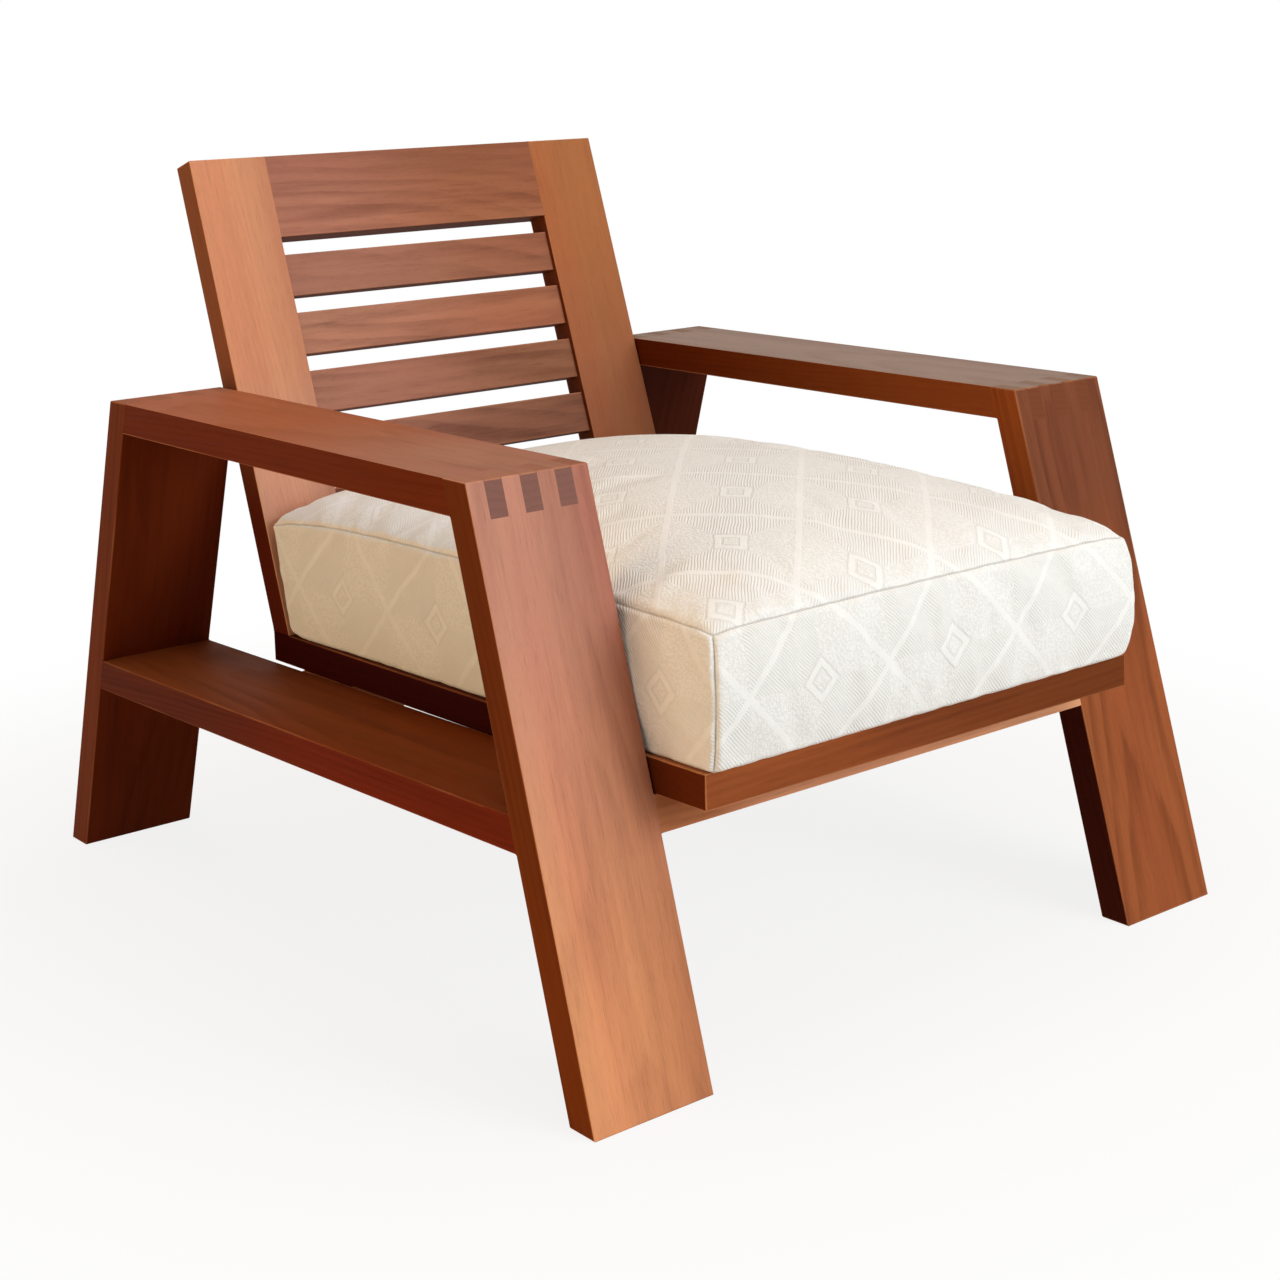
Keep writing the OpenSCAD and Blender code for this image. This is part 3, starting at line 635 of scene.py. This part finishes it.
def one_screw():
    """A countersunk screw, head down at z = 0, with its cross recess and a plain shank."""
    form = bmesh.new()
    rings = []
    for radius, z in ((SCREW_HEAD, RECESS_RIM), (SCREW_SHANK, SCREW_SINK),
                      (SCREW_SHANK, SCREW_LENGTH - SCREW_POINT), (0.0002, SCREW_LENGTH)):
        angles = [2 * pi * k / SCREW_SIDES for k in range(SCREW_SIDES)]
        rings.append([form.verts.new((radius * cos(a), radius * sin(a), z)) for a in angles])
    for low, high in zip(rings, rings[1:]):
        join_rings(form, low, high)
    form.faces.new(rings[-1])
    cross = []
    for quarter in range(4):
        for x, y in ((RECESS_HALF, RECESS_HALF), (RECESS_HALF, RECESS_LONG), (-RECESS_HALF, RECESS_LONG)):
            a = quarter * pi / 2
            cross.append((x * cos(a) - y * sin(a), x * sin(a) + y * cos(a)))
    mouth = [form.verts.new((x, y, RECESS_RIM)) for x, y in cross]
    floor_ring = [form.verts.new((RECESS_TAPER * x, RECESS_TAPER * y, RECESS_FLOOR)) for x, y in cross]
    rim_edges = [form.edges.get(pair) for pair in around(rings[0])]
    mouth_edges = [form.edges.new(pair) for pair in around(mouth)]
    bmesh.ops.triangle_fill(form, use_beauty=True, edges=rim_edges + mouth_edges)
    join_rings(form, mouth, floor_ring)
    form.faces.new(floor_ring)
    bmesh.ops.recalc_face_normals(form, faces=form.faces)
    return as_mesh(form, "one_screw")


def set_out_tree(name):
    """Geometry tree: one given part set at every point, turned and sized, and made real."""
    tree = bpy.data.node_groups.new(name, "GeometryNodeTree")
    for label, kind in (("Geometry", "Geometry"), ("Part", "Object"), ("Turn", "Vector"), ("Size", "Float"),
                        ("Finish", "Material")):
        tree.interface.new_socket(label, in_out="INPUT", socket_type="NodeSocket" + kind)
    tree.interface.new_socket("Geometry", in_out="OUTPUT", socket_type="NodeSocketGeometry")
    given = tree.nodes.new("NodeGroupInput").outputs
    part = place_node(tree, "GeometryNodeObjectInfo", {"Object": given["Part"]})
    turned = place_node(tree, "FunctionNodeEulerToRotation", {"Euler": given["Turn"]})
    laid = place_node(tree, "GeometryNodeInstanceOnPoints",
                      {"Points": given["Geometry"], "Instance": part.outputs["Geometry"],
                       "Rotation": turned.outputs[0], "Scale": given["Size"]})
    real = place_node(tree, "GeometryNodeRealizeInstances", {"Geometry": laid.outputs[0]})
    done = place_node(tree, "GeometryNodeSetMaterial",
                      {"Geometry": real.outputs[0], "Material": given["Finish"]})
    out = tree.nodes.new("NodeGroupOutput")
    tree.links.new(done.outputs[0], out.inputs[0])
    return tree


SET_OUT = set_out_tree("set out along points")


def plain_mesh(piece):
    """A piece as its modifiers leave it, as a mesh of its own."""
    return bpy.data.meshes.new_from_object(piece.evaluated_get(bpy.context.evaluated_depsgraph_get()))


def set_out(name, part_mesh, points, turn, finish):
    """The part repeated at the points, as one plain mesh."""
    pattern = link_piece(name + "_pattern", part_mesh)
    marks = bpy.data.meshes.new(name + "_points")
    marks.from_pydata(points, [], [])
    bearer = link_piece(name + "_points", marks)
    step = bearer.modifiers.new("set_out", "NODES")
    step.node_group = SET_OUT
    given = {"Part": pattern, "Turn": turn, "Size": 1.0, "Finish": finish}
    for socket in SET_OUT.interface.items_tree:
        if socket.in_out == "INPUT" and socket.name in given:
            step[socket.identifier] = given[socket.name]
    mesh = plain_mesh(bearer)
    mesh.name = name
    bearer.modifiers.remove(step)
    bpy.data.objects.remove(bearer)
    bpy.data.objects.remove(pattern)
    return mesh


screw_points = [SEAT_TURN @ Vector((x, y, -RAIL_THICK)) for x, y in SCREW_PLACES]
screws = link_piece("driven_screws",
                    set_out("driven_screws", one_screw(), screw_points, SEAT_TURN.to_euler(), screw_finish))
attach(screws, "chair_frame")
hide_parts("seat_screws")


# Seat cushion. A thick block of foam in a sewn cover: a top panel, a boxing strip round the sides
# and a bottom panel, joined by plain seams that draw in the corners. The panels share one mesh.
# The foam crowns the top and swells the sides, and the rear boxing stays flat for its zip.
ON_CUSHION = SEAT_TURN @ Matrix.Translation((0, 0, RAIL_THICK + 0.0003))
HALF_WIDE, FRONT_EDGE, BOXING = 0.2615, 0.4577, 0.126
SEAT_LONG, SEAT_FRONT, STILE_THICK, STILE_LEAN, BACK_GAP = 0.6825, 0.4522, 0.0293, radians(17.7), 0.0015
REAR_LOW = SEAT_LONG - SEAT_FRONT - STILE_THICK / cos(STILE_LEAN) - BACK_GAP
REAR_LEAN = 0.029
CROWN_RISE, SHOULDER_RISE = 0.054, 0.012
FRONT_DIP, FRONT_CORNER_DROP, REAR_CORNER_DROP = 0.0055, 0.003, 0.015


def spaced(length, cell, close=(0.0022, 0.0055, 0.0105, 0.0175)):
    """Places along a panel from -1 to 1, closer together beside the seams at both ends."""
    inner = length - 2 * close[-1]
    cells = ceil(inner / cell)
    places = [0, *close] + [close[-1] + inner * k / cells for k in range(1, cells)]
    places += [length - c for c in reversed((0, *close))]
    return [2 * p / length - 1 for p in places]


CELL = 0.0078
columns = spaced(2 * HALF_WIDE, CELL)
rows = spaced(FRONT_EDGE + REAR_LOW, CELL)
heights = [(h + 1) / 2 for h in spaced(BOXING, CELL)]


def bulge(h):
    """The stuffing's push against the boxing, from the bottom seam at 0 to the top one at 1."""
    return 1 - abs(2 * h - 1) ** 4


def rear_line(h):
    """How far back the boxing stands at a height."""
    return REAR_LOW + REAR_LEAN * h


def front_line(h):
    """How far forward it stands."""
    return FRONT_EDGE + 0.009 * bulge(h)


def side_line(h, t):
    """How far out it stands, at t from the front, -1, to the rear, 1."""
    return HALF_WIDE + 0.0025 * (1 - h) + 0.0045 * max(0, t) ** 4 + 0.005 * bulge(h) * (1 - max(0, t) ** 6)


def corner_pull(s, t):
    """How far a corner of the panel is drawn in, as a share of its size."""
    m = max(abs(s), abs(t), 1e-9)
    power = 300 if t > 0 else 80
    full = ((abs(s) / m) ** power + (abs(t) / m) ** power) ** (-1 / power)
    return 1 - (1 - full) * m ** 6


def seam_height(s, t):
    """Height of the top seam at a place on the panel's rim."""
    if t <= -1:
        return BOXING - FRONT_DIP - FRONT_CORNER_DROP * s ** 4
    if t >= 1:
        return BOXING - REAR_CORNER_DROP * s ** 12
    return BOXING - (FRONT_DIP + FRONT_CORNER_DROP) * max(0, -t) ** 2 - REAR_CORNER_DROP * max(0, t) ** 5


def wall(s, t, h):
    """A place on the boxing: s, t on the rim of the panel, h from the bottom seam to the top one."""
    pull = corner_pull(s, t)
    middle, deep = (rear_line(h) - front_line(h)) / 2, (rear_line(h) + front_line(h)) / 2
    lift = 0.012 * (1 - h) ** 3 * abs(s) ** 50 * max(0, t) ** 50
    return Vector((s * pull * side_line(h, t), middle + t * pull * deep, h * seam_height(s, t) + lift))


def crown(s, t):
    """A place on the top panel."""
    m = max(abs(s), abs(t), 1e-9)
    edge = wall(s / m, t / m, 1.0)
    middle = (rear_line(1) - front_line(1)) / 2
    share = m * corner_pull(s, t) / corner_pull(s / m, t / m)
    rise = (CROWN_RISE * (1 - abs(s) ** 2.4) * (1 - abs(t) ** 2.4)
            + SHOULDER_RISE * (1 - abs(s) ** 15) * (1 - abs(t) ** 15))
    height = BOXING + (edge.z - BOXING) * m ** 20 + rise
    return Vector((edge.x * share, middle + (edge.y - middle) * share, height))


def cushion_form():
    """The cover as one closed mesh in the cushion's own frame: its points and faces, each face's
    panel, each point's way to the nearest seam, and how firmly it is held."""
    nc, nr, nh = len(columns), len(rows), len(heights)
    width, depth = 2 * HALF_WIDE, FRONT_EDGE + REAR_LOW
    points, seam_gap, held = [], [], []

    def keep(point, gap, hold):
        points.append(point)
        seam_gap.append(gap)
        held.append(hold)
        return len(points) - 1

    def gap_in_panel(s, t):
        return min((1 - abs(s)) * width / 2, (1 - abs(t)) * depth / 2)

    def underside(s, t):
        m = max(abs(s), abs(t), 1e-9)
        rim = wall(s / m, t / m, 0.0)
        middle = (rear_line(0) - front_line(0)) / 2
        pull = corner_pull(s, t) / corner_pull(s / m, t / m)
        return Vector((rim.x * m * pull, middle + (rim.y - middle) * m * pull, rim.z * m ** 50))

    top = [[keep(crown(s, t), gap_in_panel(s, t), 0.0) for t in rows] for s in columns]
    bottom = [[keep(underside(s, t), gap_in_panel(s, t), 1.0) for t in rows] for s in columns]
    loop = ([(i, 0) for i in range(nc - 1)] + [(nc - 1, j) for j in range(nr - 1)]
            + [(i, nr - 1) for i in range(nc - 1, 0, -1)] + [(0, j) for j in range(nr - 1, 0, -1)])
    walls = []
    for i, j in loop:
        s, t = columns[i], rows[j]
        across = (1 - abs(s)) * width / 2 if abs(t) == 1 else 9
        corner = min(across, (1 - abs(t)) * depth / 2 if abs(s) == 1 else 9)
        column = [bottom[i][j]]
        for h in heights[1:-1]:
            gap = min(h * BOXING, (1 - h) * BOXING, corner)
            column.append(keep(wall(s, t, h), gap, 1.0 if t == 1 else 0.0))
        walls.append(column + [top[i][j]])

    faces, panel = [], []
    for i in range(nc - 1):
        for j in range(nr - 1):
            faces.append((top[i][j], top[i + 1][j], top[i + 1][j + 1], top[i][j + 1]))
            faces.append((bottom[i][j], bottom[i][j + 1], bottom[i + 1][j + 1], bottom[i + 1][j]))
            panel += ["top", "bottom"]
    for k, column in enumerate(walls):
        nxt = walls[(k + 1) % len(walls)]
        side = ("front" if k < nc - 1 else "right" if k < nc + nr - 2 else
                "rear" if k < 2 * nc + nr - 3 else "left")
        for r in range(nh - 1):
            faces.append((column[r], nxt[r], nxt[r + 1], column[r + 1]))
            panel.append(side)
    return points, faces, panel, seam_gap, held


LATTICE_WIDE, LATTICE_HIGH = 0.163, 0.167


def cloth_place(side, p):
    """Where a point of a panel lies on the cloth, counted in diamonds of its lattice."""
    if side in ("top", "bottom"):
        return (p.y + 0.440) / LATTICE_HIGH, (0.0125 - p.x) / LATTICE_WIDE
    up = (p.z - 0.059) / LATTICE_HIGH
    if side == "front":
        return (p.x + 0.069) / LATTICE_WIDE, up
    if side == "left":
        return (-p.y - 0.072) / LATTICE_WIDE + 0.5, up
    if side == "right":
        return (p.y + 0.072) / LATTICE_WIDE + 0.5, up
    return -p.x / LATTICE_WIDE, up


points, faces, panel, seam_gap, held = cushion_form()
cover_mesh = bpy.data.meshes.new("cushion_cover")
cover_mesh.from_pydata([ON_CUSHION @ p for p in points], [], faces)
cloth_map = cover_mesh.uv_layers.new(name="cloth")
for polygon, side in zip(cover_mesh.polygons, panel):
    for corner in polygon.loop_indices:
        cloth_map.data[corner].uv = cloth_place(side, points[cover_mesh.loops[corner].vertex_index])
gap_layer = cover_mesh.attributes.new("seam_gap", "FLOAT", "POINT")
gap_layer.data.foreach_set("value", seam_gap)
cover = link_piece("cushion_cover", cover_mesh)


SETTLE_FRAMES, EVEN_OUT, SWELL_OUT = 24, 24, 0.92
SEAM_GRIP, CLOTH_GRIP, GATHER_WIDE = 0.35, 0.03, 0.006


def relax_cloth(piece, held, gaps, cap):
    """Lets the cover settle as cloth over its stuffing: the seams gather, and the slack in the panels
    falls into folds beside them. The folds are kept and the swelling of whole panels isn't, as the
    shape already has it. No point moves further than its cap."""
    rest = np.array([v.co for v in piece.data.vertices])
    grip = piece.vertex_groups.new(name="held")
    gather = piece.vertex_groups.new(name="gather")
    for i, (hold, gap) in enumerate(zip(held, gaps)):
        grip.add([i], hold or (SEAM_GRIP if gap < 0.001 else CLOTH_GRIP), "REPLACE")
        gather.add([i], max(0.0, 1 - gap / GATHER_WIDE), "REPLACE")
    step = piece.modifiers.new("settle", "CLOTH")
    cloth = step.settings
    cloth.quality = 6
    cloth.mass = 0.3
    cloth.tension_stiffness = cloth.compression_stiffness = 30
    cloth.shear_stiffness = 10
    cloth.bending_stiffness = 0.35
    cloth.vertex_group_mass = "held"
    cloth.pin_stiffness = 1.0
    cloth.vertex_group_shrink = "gather"
    cloth.shrink_min = -0.022
    cloth.shrink_max = 0.012
    cloth.use_pressure = True
    cloth.uniform_pressure_force = 1.5
    cloth.effector_weights.gravity = 0
    step.collision_settings.use_collision = False
    step.collision_settings.use_self_collision = False
    step.point_cache.frame_start = 1
    step.point_cache.frame_end = SETTLE_FRAMES
    scene = bpy.context.scene
    for number in range(1, SETTLE_FRAMES + 1):
        scene.frame_set(number)
    settled = piece.evaluated_get(bpy.context.evaluated_depsgraph_get())
    after = np.array([v.co for v in settled.data.vertices])
    scene.frame_set(1)
    piece.modifiers.remove(step)
    piece.vertex_groups.clear()
    move = after - rest
    ends = np.array([e.vertices[:] for e in piece.data.edges])
    links = np.bincount(ends.ravel(), minlength=len(rest))[:, None]
    swell = move.copy()
    for _ in range(EVEN_OUT):
        total = np.zeros_like(swell)
        np.add.at(total, ends[:, 0], swell[ends[:, 1]])
        np.add.at(total, ends[:, 1], swell[ends[:, 0]])
        swell = 0.5 * swell + 0.5 * total / links
    move -= SWELL_OUT * swell
    far = np.linalg.norm(move, axis=1)
    move *= np.minimum(1, np.array(cap) / np.maximum(far, 1e-9))[:, None]
    piece.data.vertices.foreach_set("co", (rest + move).ravel())
    piece.data.update()


cap = [0.0 if hold else 0.0011 if abs(p.x) > 0.255 else 0.0018 for hold, p in zip(held, points)]
relax_cloth(cover, held, seam_gap, cap)

smoothing = cover.modifiers.new("smooth", "SUBSURF")
smoothing.levels = smoothing.render_levels = 1
smoothing.boundary_smooth = "ALL"
smoothing.uv_smooth = "NONE"
fine = plain_mesh(cover)
cover.modifiers.clear()
cover.data = fine
fine.name = "cushion_cover"

count = len(fine.vertices)
gaps = np.zeros(count)
fine.attributes["seam_gap"].data.foreach_get("value", gaps)
spots = np.zeros(count * 3)
fine.vertices.foreach_get("co", spots)
spots = spots.reshape(-1, 3)
facing = np.array([n.vector[:] for n in fine.vertex_normals])
pucker = np.array([noise.noise(Vector(p) * 55) + 0.5 * noise.noise(Vector(p) * 120) for p in spots])
SEAM_DEEP, SEAM_LIP, PUCKER_DEEP = 0.0016, 0.0005, 0.0010
REAR_PANEL, REAR_FLAT, MOST_WIDE = 0.190, 0.012, 0.269


def near_seam(at, half):
    """A share that peaks at one distance from the seam and fades over another."""
    return np.exp(-((gaps - at) / half) ** 2)


sink = SEAM_DEEP * near_seam(0, 0.0017) - SEAM_LIP * near_seam(0.0055, 0.003)
sink += PUCKER_DEEP * pucker * near_seam(0.005, 0.011)
off_seat = ON_CUSHION.inverted()
flat_rear = np.array([(off_seat @ Vector(p)).y > REAR_PANEL for p in spots])
sink[flat_rear & (gaps > REAR_FLAT)] = 0
spots -= facing * sink[:, None]
laid = np.array(off_seat) @ np.vstack((spots.T, np.ones(count)))
laid[2] = np.maximum(laid[2], 0)
laid[0] = np.clip(laid[0], -MOST_WIDE, MOST_WIDE)
spots = (np.array(ON_CUSHION) @ laid)[:3].T
fine.vertices.foreach_set("co", spots.ravel())
fine.polygons.foreach_set("use_smooth", [True] * len(fine.polygons))
fine.update()


def jacquard_finish():
    """Pale cotton jacquard: a diamond lattice of smooth satin bands, a small nested diamond in every
    cell, and quarter cells filled by turns with a fine rib and with a pebbled ground. Painted cool
    light tints the top a little bluer along its left edge, and painted shade darkens the seams."""
    finish, tree = new_finish("pale_jacquard")
    do, ease, mix = (partial(step, tree) for step in (calc, ramp, blend_colour))
    place = place_node(tree, "UVMap", uv_map="cloth").outputs[0]
    weave_shift = place_node(tree, "TexNoise", {"Vector": place, "Scale": 7.0, "Detail": 2.0})
    off = calc_vector(tree, "SUBTRACT", weave_shift.outputs["Color"], (0.5, 0.5, 0.5))
    woven = calc_vector(tree, "MULTIPLY_ADD", off, (0.022, 0.022, 0), place)
    part = split(tree, woven)
    up_right = do("ADD", part["X"], part["Y"])
    down_right = do("SUBTRACT", part["X"], part["Y"])
    a = do("ABSOLUTE", do("SUBTRACT", do("FRACT", up_right), 0.5))
    b = do("ABSOLUTE", do("SUBTRACT", do("FRACT", down_right), 0.5))
    ring = do("MAXIMUM", a, b)

    def between(*edges):
        """1 on a diamond's ring, from its inner edge's start and end to its outer edge's."""
        inner, outer = ease(ring, *edges[:2]), ease(ring, *edges[2:], 1.0, 0.0)
        return do("MULTIPLY", inner, outer)

    band = ease(ring, 0.471, 0.480)
    nested = between(0.070, 0.080, 0.112, 0.122)
    grooves = do("ADD", between(0.048, 0.058, 0.068, 0.076), between(0.116, 0.126, 0.134, 0.144))
    smooth = do("MAXIMUM", band, nested, clamp=True)
    ribbed = ease(do("SUBTRACT", b, a), -0.006, 0.006)
    ribbed = do("MULTIPLY", ribbed, ease(ring, 0.13, 0.15))

    def wave(along, count):
        """A sine along the cloth, so many waves to the diamond."""
        return do("SINE", do("MULTIPLY", along, 2 * pi * count))

    rib = do("MULTIPLY_ADD", wave(up_right, 45), 0.5, 0.5)
    pebble = place_node(tree, "TexVoronoi", {"Vector": woven, "Scale": 70.0, "Randomness": 0.9})
    pebbled = ease(pebble.outputs["Distance"], 0.15, 0.75, 0.95, 0.25)
    ground = place_node(tree, "Mix", {0: ribbed, 2: pebbled, 3: rib}, data_type="FLOAT").outputs[0]
    ground = do("SUBTRACT", ground, do("MULTIPLY", grooves, 0.7))
    relief = place_node(tree, "Mix", {0: smooth, 2: ground, 3: 0.85}, data_type="FLOAT").outputs[0]

    yarn = do("MULTIPLY", wave(part["X"], 270), wave(part["Y"], 270))
    mottle = place_node(tree, "TexNoise", {"Vector": place, "Scale": 24.0, "Detail": 4.0}).outputs["Fac"]
    thread_pale, thread_grey = paint(242, 241, 237), paint(231, 229, 224)
    tint = mix(ease(relief, 0.1, 0.8), thread_grey, thread_pale)
    tint = mix(ease(mottle, 0.35, 0.7, 0.0, 0.25), tint, paint(234, 230, 222))
    # Painted shade darkens the cloth in the seams.
    gap = place_node(tree, "Attribute", attribute_name="seam_gap").outputs["Fac"]
    tint = mix(ease(gap, 0.0003, 0.0014, 0.40, 0.0), tint, paint(128, 112, 96))

    spot = place_node(tree, "TexCoord").outputs
    lies = split(tree, spot["Object"])
    # Painted cool light on the upward faces along the top's left edge.
    faded = do("MULTIPLY", ease(lies["X"], -0.17, -0.24), ease(lies["Y"], -0.25, -0.08))
    faded = do("MULTIPLY", faded, ease(split(tree, spot["Normal"])["Z"], 0.45, 0.75))
    tint = mix(faded, tint, (0.92, 1.03, 1.18, 1), "MULTIPLY")

    height = do("MULTIPLY_ADD", yarn, 0.10, relief)
    raised = place_node(tree, "Bump", {"Strength": 0.7, "Distance": 0.0007, "Height": height})
    coat(tree, {"Base Color": tint, "Normal": raised.outputs[0],
                "Roughness": ease(smooth, 0.0, 1.0, 0.88, 0.66), "Specular IOR Level": 0.3,
                "Sheen Weight": 0.18, "Sheen Roughness": 0.5})
    return finish


fine.materials.clear()
fine.materials.append(jacquard_finish())
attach(cover, "seat_cushion")
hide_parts("cushion_core", "cushion_top_panel", "cushion_boxing", "cushion_bottom_panel")


# Zip. Two rows of brass teeth on a woven tape, sewn into the rear boxing so that the cover comes
# off for washing, with a cast slider and its pull tab at the closed end.
PLAY = 0.00025
ZIP_LEAN = atan2(REAR_LEAN, BOXING)
ON_ZIP = (ON_CUSHION @ Matrix.Translation((0, rear_line(0.5) + PLAY, BOXING / 2))
          @ Matrix.Rotation(-ZIP_LEAN, 4, "X"))
TAPE_LONG, TAPE_HIGH, TAPE_THICK = 0.400, 0.024, 0.0006
TEETH_LONG, TOOTH_PITCH, TOOTH_HIGH = 0.370, 0.0022, 0.0016


def box_form(form, low, high):
    """A plain block between two corners, added to a form."""
    middle, span = (Vector(low) + Vector(high)) / 2, Vector(high) - Vector(low)
    for v in bmesh.ops.create_cube(form, size=1)["verts"]:
        v.co = Vector((v.co.x * span.x, v.co.y * span.y, v.co.z * span.z)) + middle


def soften(form, by, cuts=1):
    """Bevels every edge of a form."""
    bmesh.ops.bevel(form, geom=form.edges[:], offset=by, segments=cuts, affect="EDGES")


def zip_piece(name, form, finish, node, body):
    """Places a zip part on the rear boxing and hands it over."""
    form.transform(ON_ZIP)
    bmesh.ops.recalc_face_normals(form, faces=form.faces)
    piece = link_piece(name, as_mesh(form, name), finish)
    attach(piece, body)
    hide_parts(node)


tape_finish, tape_tree = new_finish("zip_tape")
tape_part = split(tape_tree, place_node(tape_tree, "TexCoord").outputs["Object"])
chevron = calc(tape_tree, "PINGPONG", calc(tape_tree, "MULTIPLY", tape_part["Z"], 500), 1.0)
twill = calc(tape_tree, "SINE", calc(tape_tree, "MULTIPLY_ADD", tape_part["X"], 5200,
                                     calc(tape_tree, "MULTIPLY", chevron, 5)))
twill_share = ramp(tape_tree, twill, -1, 1)
tape_tint = blend_colour(tape_tree, twill_share, paint(206, 198, 182), paint(232, 226, 212))
tape_raise = place_node(tape_tree, "Bump", {"Strength": 0.5, "Distance": 0.0002, "Height": twill})
coat(tape_tree, {"Base Color": tape_tint, "Roughness": 0.85, "Normal": tape_raise.outputs[0]})

tape_form = bmesh.new()
for edge in (-1, 1):
    low, high = sorted((edge * 0.0003, edge * TAPE_HIGH / 2))
    box_form(tape_form, (-TAPE_LONG / 2, 0, low), (TAPE_LONG / 2, TAPE_THICK, high))
soften(tape_form, 0.00015)
zip_piece("zip_tape", tape_form, tape_finish, "zip_chain", "seat_cushion")

brass_finish = brushed_finish("antique_brass", paint(178, 150, 96), 0.3)
tooth_form = bmesh.new()
box_form(tooth_form, (-0.0007, 0, -0.0026), (0.0007, TOOTH_HIGH, 0.0008))
soften(tooth_form, 0.0003)
tooth_mesh = as_mesh(tooth_form, "tooth")
teeth = [ON_ZIP @ Vector(((number + 0.5) * TOOTH_PITCH - TEETH_LONG / 2, TAPE_THICK, 0))
         for number in range(int(TEETH_LONG / TOOTH_PITCH))]
upside_down = ON_ZIP @ Matrix.Rotation(pi, 4, "Y")
for name, first, turn in (("zip_teeth_lower", 0, ON_ZIP), ("zip_teeth_upper", 1, upside_down)):
    row = link_piece(name, set_out(name, tooth_mesh.copy(), teeth[first::2], turn.to_euler(), brass_finish))
    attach(row, "seat_cushion")
    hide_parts("zip_chain")

SLIDER_AT, HALF_LONG, HALF_HIGH, CHEEK = -0.179, 0.005, 0.0055, 0.0009
TAB_OUT, TAB_THICK, TAB_ENDS = 0.00135, 0.001, ((0.0025, -0.0195, pi), (0.0018, -0.0005, 0))
FACE = TAPE_THICK + TOOTH_HIGH + PLAY
slider_form = bmesh.new()
box_form(slider_form, (-HALF_LONG, FACE, -HALF_HIGH), (HALF_LONG, FACE + 0.0013, HALF_HIGH))
for low, high in ((-HALF_HIGH, CHEEK - HALF_HIGH), (HALF_HIGH - CHEEK, HALF_HIGH)):
    box_form(slider_form, (-HALF_LONG, TAPE_THICK + PLAY, low), (HALF_LONG, FACE + 0.0006, high))
box_form(slider_form, (-0.0012, FACE + 0.001, -0.0040), (0.0012, FACE + 0.0024, 0.0040))
soften(slider_form, 0.00035, 2)
tab_outline = [(radius * cos(a), at + radius * sin(a))
               for radius, at, first in TAB_ENDS for a in np.linspace(first, first + pi, 13)]
hole = [(0.0009 * cos(a), -0.0040 + 0.0014 * sin(a)) for a in np.linspace(0, 2 * pi, 16, endpoint=False)]
rims = []
for outline in (tab_outline, hole):
    ring = [slider_form.verts.new((x, FACE + TAB_OUT, z)) for x, z in outline]
    rims += [slider_form.edges.new(pair) for pair in around(ring)]
tab_face = bmesh.ops.triangle_fill(slider_form, use_beauty=True, edges=rims)["geom"]
tab_face = [g for g in tab_face if isinstance(g, bmesh.types.BMFace)]
raised = bmesh.ops.extrude_face_region(slider_form, geom=tab_face, use_keep_orig=True)["geom"]
raised = [g for g in raised if isinstance(g, bmesh.types.BMVert)]
bmesh.ops.translate(slider_form, vec=(0, TAB_THICK, 0), verts=raised)
slider_form.transform(Matrix.Translation((SLIDER_AT, 0, 0)))
zip_piece("zip_slider_cast", slider_form, brass_finish, "zip_slider", "zip_slider")
